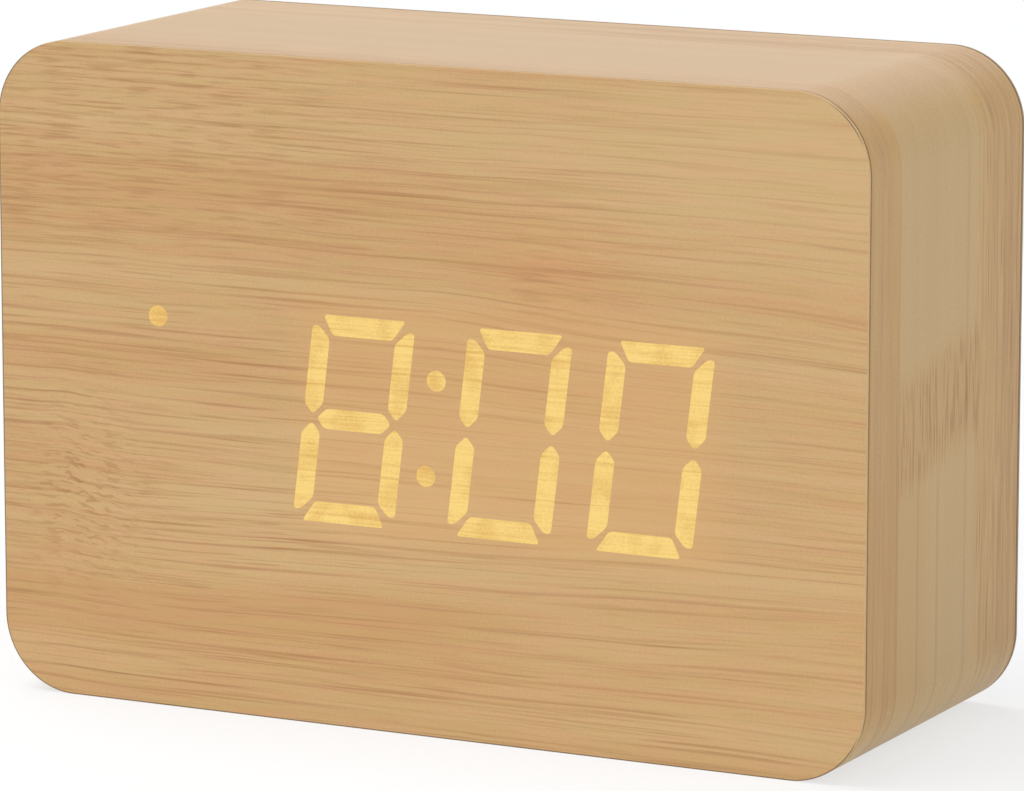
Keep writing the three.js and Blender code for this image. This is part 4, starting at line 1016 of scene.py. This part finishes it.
# Behind each cap: a tact switch, soldered to the button board. Its red plastic stem moves with the
# cap, and its black housing has tinned legs above and below.
housing = (button_z, 3.02)
switch_plastic = moulded("switch_plastic", (22, 22, 24), (34, 34, 36), 0.5, 0.2, body=housing)
stem_plastic = moulded("stem_plastic", (196, 60, 44), (216, 78, 58), 0.45, 0.3, 0.01)
stem_radius, stem_low, stem_top, stem_edge = mm(1.7, 11.9, 14.5, 0.2)
stem = rod("stem_up", spot, stem_radius, stem_low, stem_top)
bevel(stem, stem_edge, 3, rim_at(stem_top))
for name, made in for_each_button(stem, "stem").items():
    finish_piece(made, "button_plastic", f"{name}_button_plunger", stem_plastic, name)
    coat(switch_plastic, f"{name}_button_switch")


# The microphone: a drawn steel capsule with black felt in its rim. It stands on the button board,
# behind its hole in the cover.
capsule_radius, capsule_low, capsule_rim, capsule_edge, felt_depth = mm(3.0, 9.9, 12.4, 0.25, 0.3)
capsule = rod("capsule", (microphone_x, button_z), capsule_radius, capsule_low, capsule_rim)
bevel(capsule, capsule_edge, 3, rim_at(capsule_rim))
sink(capsule, lambda face: face.normal.y > 0.99, [capsule_edge], (0, -felt_depth, 0))
felt = Finish("felt")
x, y, z = felt.place()
hairs = felt.noise(x, y, z, 4.0, 0.7, 9)
felt.set(
    Base_Color=felt.mix(hairs, (12, 12, 13), (44, 44, 46)),
    Roughness=0.95,
    Normal=felt.bump(hairs, 0.1 * MM),
)
give(capsule, can_steel)
give(capsule, felt, lambda face: face.normal.y > 0.99 and face.center.y < capsule_rim - felt_depth / 2)
finish_piece(capsule, "steel", "microphone")


# The power inlet: a black block behind the cover whose round mouth comes out flush, with a plated
# sleeve and a centre pin inside and two solder lugs at its front.
inlet_front, inlet_half, mouth_radius = mm(7.4, 4.0, 3.0)
bore_radius, bore_floor, pin_radius, pin_tip = mm(1.8, 10.1, 0.65, 17.5)
inlet_corner, inlet_edge, pin_edge = mm(0.5, 0.12, 0.3)
lug_x, lug_half_x, lug_half_z, lug_length = mm(1.4, 0.25, 1.0, 2.0)
lug_front = inlet_front - lug_length
spot = (inlet_x, inlet_z)
inlet_span = (inlet_z - inlet_half, inlet_z + inlet_half)
inlet = slab("inlet_power", inlet_x, inlet_half, inlet_front, cover_near, *inlet_span)
round_corners(inlet, inlet_corner, 3)
unite(inlet, rod("mouth", spot, mouth_radius, cover_near - weld, cover_far, sides=64))
cut_away(inlet, rod("bore", spot, bore_radius, bore_floor, behind))
bevel(inlet, inlet_edge, 2, rim_at(cover_far))
pin = rod("pin", spot, pin_radius, bore_floor - weld, pin_tip, sides=32)
bevel(pin, pin_edge, 4, rim_at(pin_tip))
unite(inlet, pin)
lug_z = (inlet_z - lug_half_z, inlet_z + lug_half_z)
for aside in (-lug_x, lug_x):
    unite(inlet, slab("lug", inlet_x + aside, lug_half_x, lug_front, inlet_front + weld, *lug_z))


def is_plated(face):
    """True inside the bore and on the lugs."""
    corners = [inlet.data.vertices[index].co for index in face.vertices]
    reach = bore_radius + 0.02 * MM
    in_bore = all(math.hypot(corner.x - inlet_x, corner.z - inlet_z) < reach for corner in corners)
    return in_bore or face.center.y < inlet_front - 0.01 * MM


give(inlet, buzzer_plastic)
give(inlet, metal("plated_brass", (186, 182, 170), (214, 210, 198), 0.28), is_plated)
finish_piece(inlet, "component_plastic", "power_jack")


# The three cells: steel cans in a printed jacket, with a raised nub at one end and a slightly sunk
# plate at the other, each turned end for end against the next.
def jacket(name, side):
    """The printed sleeve: slate with a copper band and a fine pale line towards the nub."""
    made = Finish(name)
    x, y, z = made.place()
    towards_nub = x * side
    foil = made.noise(x * 0.4, y * 3, z * 3, 3.0, 0.6)
    colour = made.mix(foil, (40, 58, 76), (54, 76, 98))
    colour = made.mix(towards_nub.between(10.98, 11.02), colour, (214, 214, 210))
    band = made.mix(foil, (176, 112, 66), (204, 142, 92))
    return made.set(
        Base_Color=made.mix(towards_nub.between(11.58, 11.62), colour, band),
        Metallic=0.35,
        Roughness=0.28 + foil * 0.1,
        Coat_Weight=0.5,
        Normal=made.bump(foil, 0.01 * MM),
    )


flat_end, nub_tip, nub_length, nub_radius, jacket_wrap = mm(19.3, 25.2, 0.9, 1.8, 0.35)
jacket_depth, nub_weld, nub_edge = mm(0.08, 0.5, 0.25)
flat_rim, flat_depth, nub_rim, nub_slope, nub_depth = mm(0.9, 0.12, 0.8, 0.3, 0.2)
nub_base = nub_tip - nub_length
jacket_start, jacket_end = -flat_end + jacket_wrap, nub_base - jacket_wrap
spot = (cell_y, cell_zs[0])


def end_face(level):
    """A test for the flat faces at one place along the width of the clock."""
    return lambda face: all(abs(vert.co.x - level) < hair for vert in face.verts)


def is_jacket(face):
    """True on the printed sleeve and on the cut ends of its foil."""
    aside = math.hypot(face.center.y - cell_y, face.center.z - cell_zs[0])
    inside = jacket_start - hair < face.center.x < jacket_end + hair
    return aside > cell_radius - 0.05 * MM or (abs(face.normal.x) > 0.9 and inside)


cell = rod("cell_aaa_1", spot, cell_radius - jacket_depth, -flat_end, nub_base, sides=64, axis="X")
sink(cell, end_face(-flat_end), [flat_rim], (flat_depth, 0, 0))
sink(cell, end_face(nub_base), (nub_rim, nub_slope), (-nub_depth, 0, 0))
nub = rod("nub", spot, nub_radius, nub_base - nub_weld, nub_tip, sides=40, axis="X")
bevel(nub, nub_edge, 3, rim_at(nub_tip, axis=0))
unite(cell, nub, rod("jacket", spot, cell_radius, jacket_start, jacket_end, sides=64, axis="X"))
give(cell, metal("cell_steel", (184, 184, 180), (214, 214, 210), 0.26))
give(cell, jacket("cell_jacket", 1), is_jacket)
cells = [cell]
for number, z in enumerate(cell_zs[1:], 2):
    cells.append(copied(cell, f"cell_aaa_{number}", (0, 0, z - cell_zs[0])))
choose(cells[1])
cells[1].rotation_euler.z = math.pi
cells[1].location.y = 2 * cell_y
settled("cell_aaa_2")
cells[1].data.materials[1] = jacket("cell_jacket_turned", -1).data
for number, made in enumerate(cells, 1):
    finish_piece(made, "cell", f"cell_{number}")


# The battery contacts: nickel-plated plates in the ends of the tray with rounded corners. Each has
# a dimple for a nub, a tapered spring for a flat end, or both; two have a tab for a lead.
def wire(name, points, radius, pulls=None):
    """A round wire through points, or a smooth one between two points that pull on it."""
    bpy.ops.curve.primitive_bezier_curve_add()
    line = bpy.context.active_object.data
    line.splines.clear()
    run = line.splines.new("BEZIER" if pulls else "POLY")
    if pulls:
        run.bezier_points.add(1)
        for end, point, pull in zip(run.bezier_points, points, pulls):
            end.co = point
            end.handle_left = end.handle_right = point + pull
    else:
        run.points.add(len(points) - 1)
        for place, point in zip(run.points, points):
            place.co = (*point, 1)
    line.dimensions = "3D"
    line.resolution_u = 24
    line.bevel_depth, line.bevel_resolution = radius, 3
    line.use_fill_caps = True
    bpy.ops.object.convert(target="MESH")
    return settled(name)


plate_depth, plate_half, plate_corner = mm(0.5, 4.3, 0.8)
dimple_radius, dimple_rise, dimple_weld, tab_half, tab_reach = mm(1.6, 0.2, 0.1, 1.5, 30.2)
spring_base, spring_tip, spring_run, spring_wire = mm(3.6, 2.4, 5.6, 0.3)
spring_turns, spring_steps = 4, 24
nickel = metal("nickel", (178, 174, 164), (212, 208, 198), 0.3, (1.0, 0.3, 1.0))


def contact(name, stands_for, side, rows, nub_row, spring_row, tab_row):
    face_x = side * (tray_half - plate_depth)
    low_x, high_x = sorted((face_x, side * tray_half))
    low = (low_x, cell_y - plate_half, cell_zs[rows[0]] - plate_half)
    made = block(name, low, (high_x, cell_y + plate_half, cell_zs[rows[-1]] + plate_half))
    bevel(made, plate_corner, 4, runs_along(0))
    if nub_row is not None:
        ends = sorted((face_x - side * dimple_rise, face_x + side * dimple_weld))
        unite(made, rod("dimple", (cell_y, cell_zs[nub_row]), dimple_radius, *ends, sides=32, axis="X"))
    if tab_row is not None:
        low_x, high_x = sorted((face_x, side * tab_reach))
        z = cell_zs[tab_row]
        low = (low_x, cell_y - tab_half, z - plate_depth / 2)
        unite(made, block("tab", low, (high_x, cell_y + tab_half, z + plate_depth / 2)))
    if spring_row is not None:
        turns = []
        for step in range(spring_turns * spring_steps + 1):
            share = step / (spring_turns * spring_steps)
            angle = share * spring_turns * 2 * math.pi
            radius = spring_base + (spring_tip - spring_base) * share
            y, z = cell_y + radius * math.cos(angle), cell_zs[spring_row] + radius * math.sin(angle)
            turns.append((face_x - side * spring_run * share, y, z))
        made = joined(name, [made, wire("spring", turns, spring_wire)])
    made.data.materials.clear()
    finish_piece(made, "contact_metal", stands_for, nickel)


contact("contact_positive", "positive_contact", 1, [0], 0, None, 0)
contact("contact_link_left", "link_contact_1", -1, [0, 1], 1, 0, None)
contact("contact_link_right", "link_contact_2", 1, [1, 2], 2, 1, None)
contact("contact_negative", "negative_contact", -1, [2], None, 2, 2)


# The leads: stranded wire in soft red and black sleeving, bared at both ends for soldering. Two run
# from the battery tabs and two from the inlet, all to the display board.
def sleeving(name, dark, light):
    made = Finish(name)
    x, y, z = made.place()
    waver = made.noise(x, y, z, 3.0, scale=0.8)
    return made.set(
        Base_Color=made.mix(waver, dark, light),
        Roughness=0.42 + waver * 0.15,
        Normal=made.bump(made.noise(x, y, z, scale=2), 0.03 * MM),
    )


sleeves = {
    "red": sleeving("red_sleeving", (150, 30, 26), (190, 46, 40)),
    "black": sleeving("black_sleeving", (14, 14, 15), (34, 34, 36)),
}
strands = metal("tinned_strands", (170, 168, 160), (206, 204, 198), 0.34)
lead_radius, bare_radius, bare_length = mm(0.7, 0.35, 0.28)
board_gap = 0.3 * MM
lead_end_y = board_rear + board_gap
battery_pull, inlet_pull, board_pull = mm(4.0, -5.0, 12.0)


def lead(name, start, start_pull, end_x, end_z):
    """One lead, named after its colour, from a terminal to the display board."""
    colour = name.split("_")[-1]
    ends = [Vector(start), Vector((end_x, lead_end_y, end_z))]
    pulls = [Vector(start_pull), Vector((0, board_pull, 0))]
    parts = [wire(name + "_wire", ends, lead_radius, pulls)]
    give(parts[0], sleeves[colour])
    for point, pull in zip(ends, pulls):
        way = pull.normalized()
        tip = wire("bare_tip", [point - bare_length * way, point + bare_radius * way], bare_radius)
        give(tip, strands)
        parts.append(tip)
    finish_piece(joined(name + "_wire", parts), colour + "_insulation", name)


tab_end, lead_end_x, lead_drift = mm(30.5, 32.6, 3.4)
for name, side, row in (("battery_lead_red", 1, 0), ("battery_lead_black", -1, 2)):
    z = cell_zs[row]
    terminal = (side * tab_end, cell_y, z)
    lead(name, terminal, (side * battery_pull, 0, 0), side * lead_end_x, z - side * lead_drift)
for name, x in (("jack_lead_red", inlet_x - lug_x), ("jack_lead_black", inlet_x + lug_x)):
    lead(name, (x, lug_front - board_gap, inlet_z), (0, inlet_pull, 0), x, inlet_z)


# The flat cable: ten fine grey cores side by side, the first one red, from the button board down to
# the display board.
core_radius, cable_drop, cable_rise, cable_pull = mm(0.45, 2.0, 14.0, 8.0)
first_x = -9 * core_radius
cable_start = Vector((first_x, button_board_near - board_gap, button_z - cable_drop))
cable_end = Vector((first_x, lead_end_y, digits_z + cable_rise))
pull = Vector((0, cable_pull, 0))
core = wire("core_1", [cable_start, cable_end], core_radius, [-pull, pull])
give(core, sleeving("grey_sleeving", (176, 176, 170), (206, 206, 200)))
cores = [core]
for number in range(1, 10):
    cores.append(copied(core, f"core_{number + 1}", (number * 2 * core_radius, 0, 0)))
core.data.materials[0] = sleeves["red"].data
finish_piece(joined("cable_flat", cores), "ribbon", "ribbon_cable")
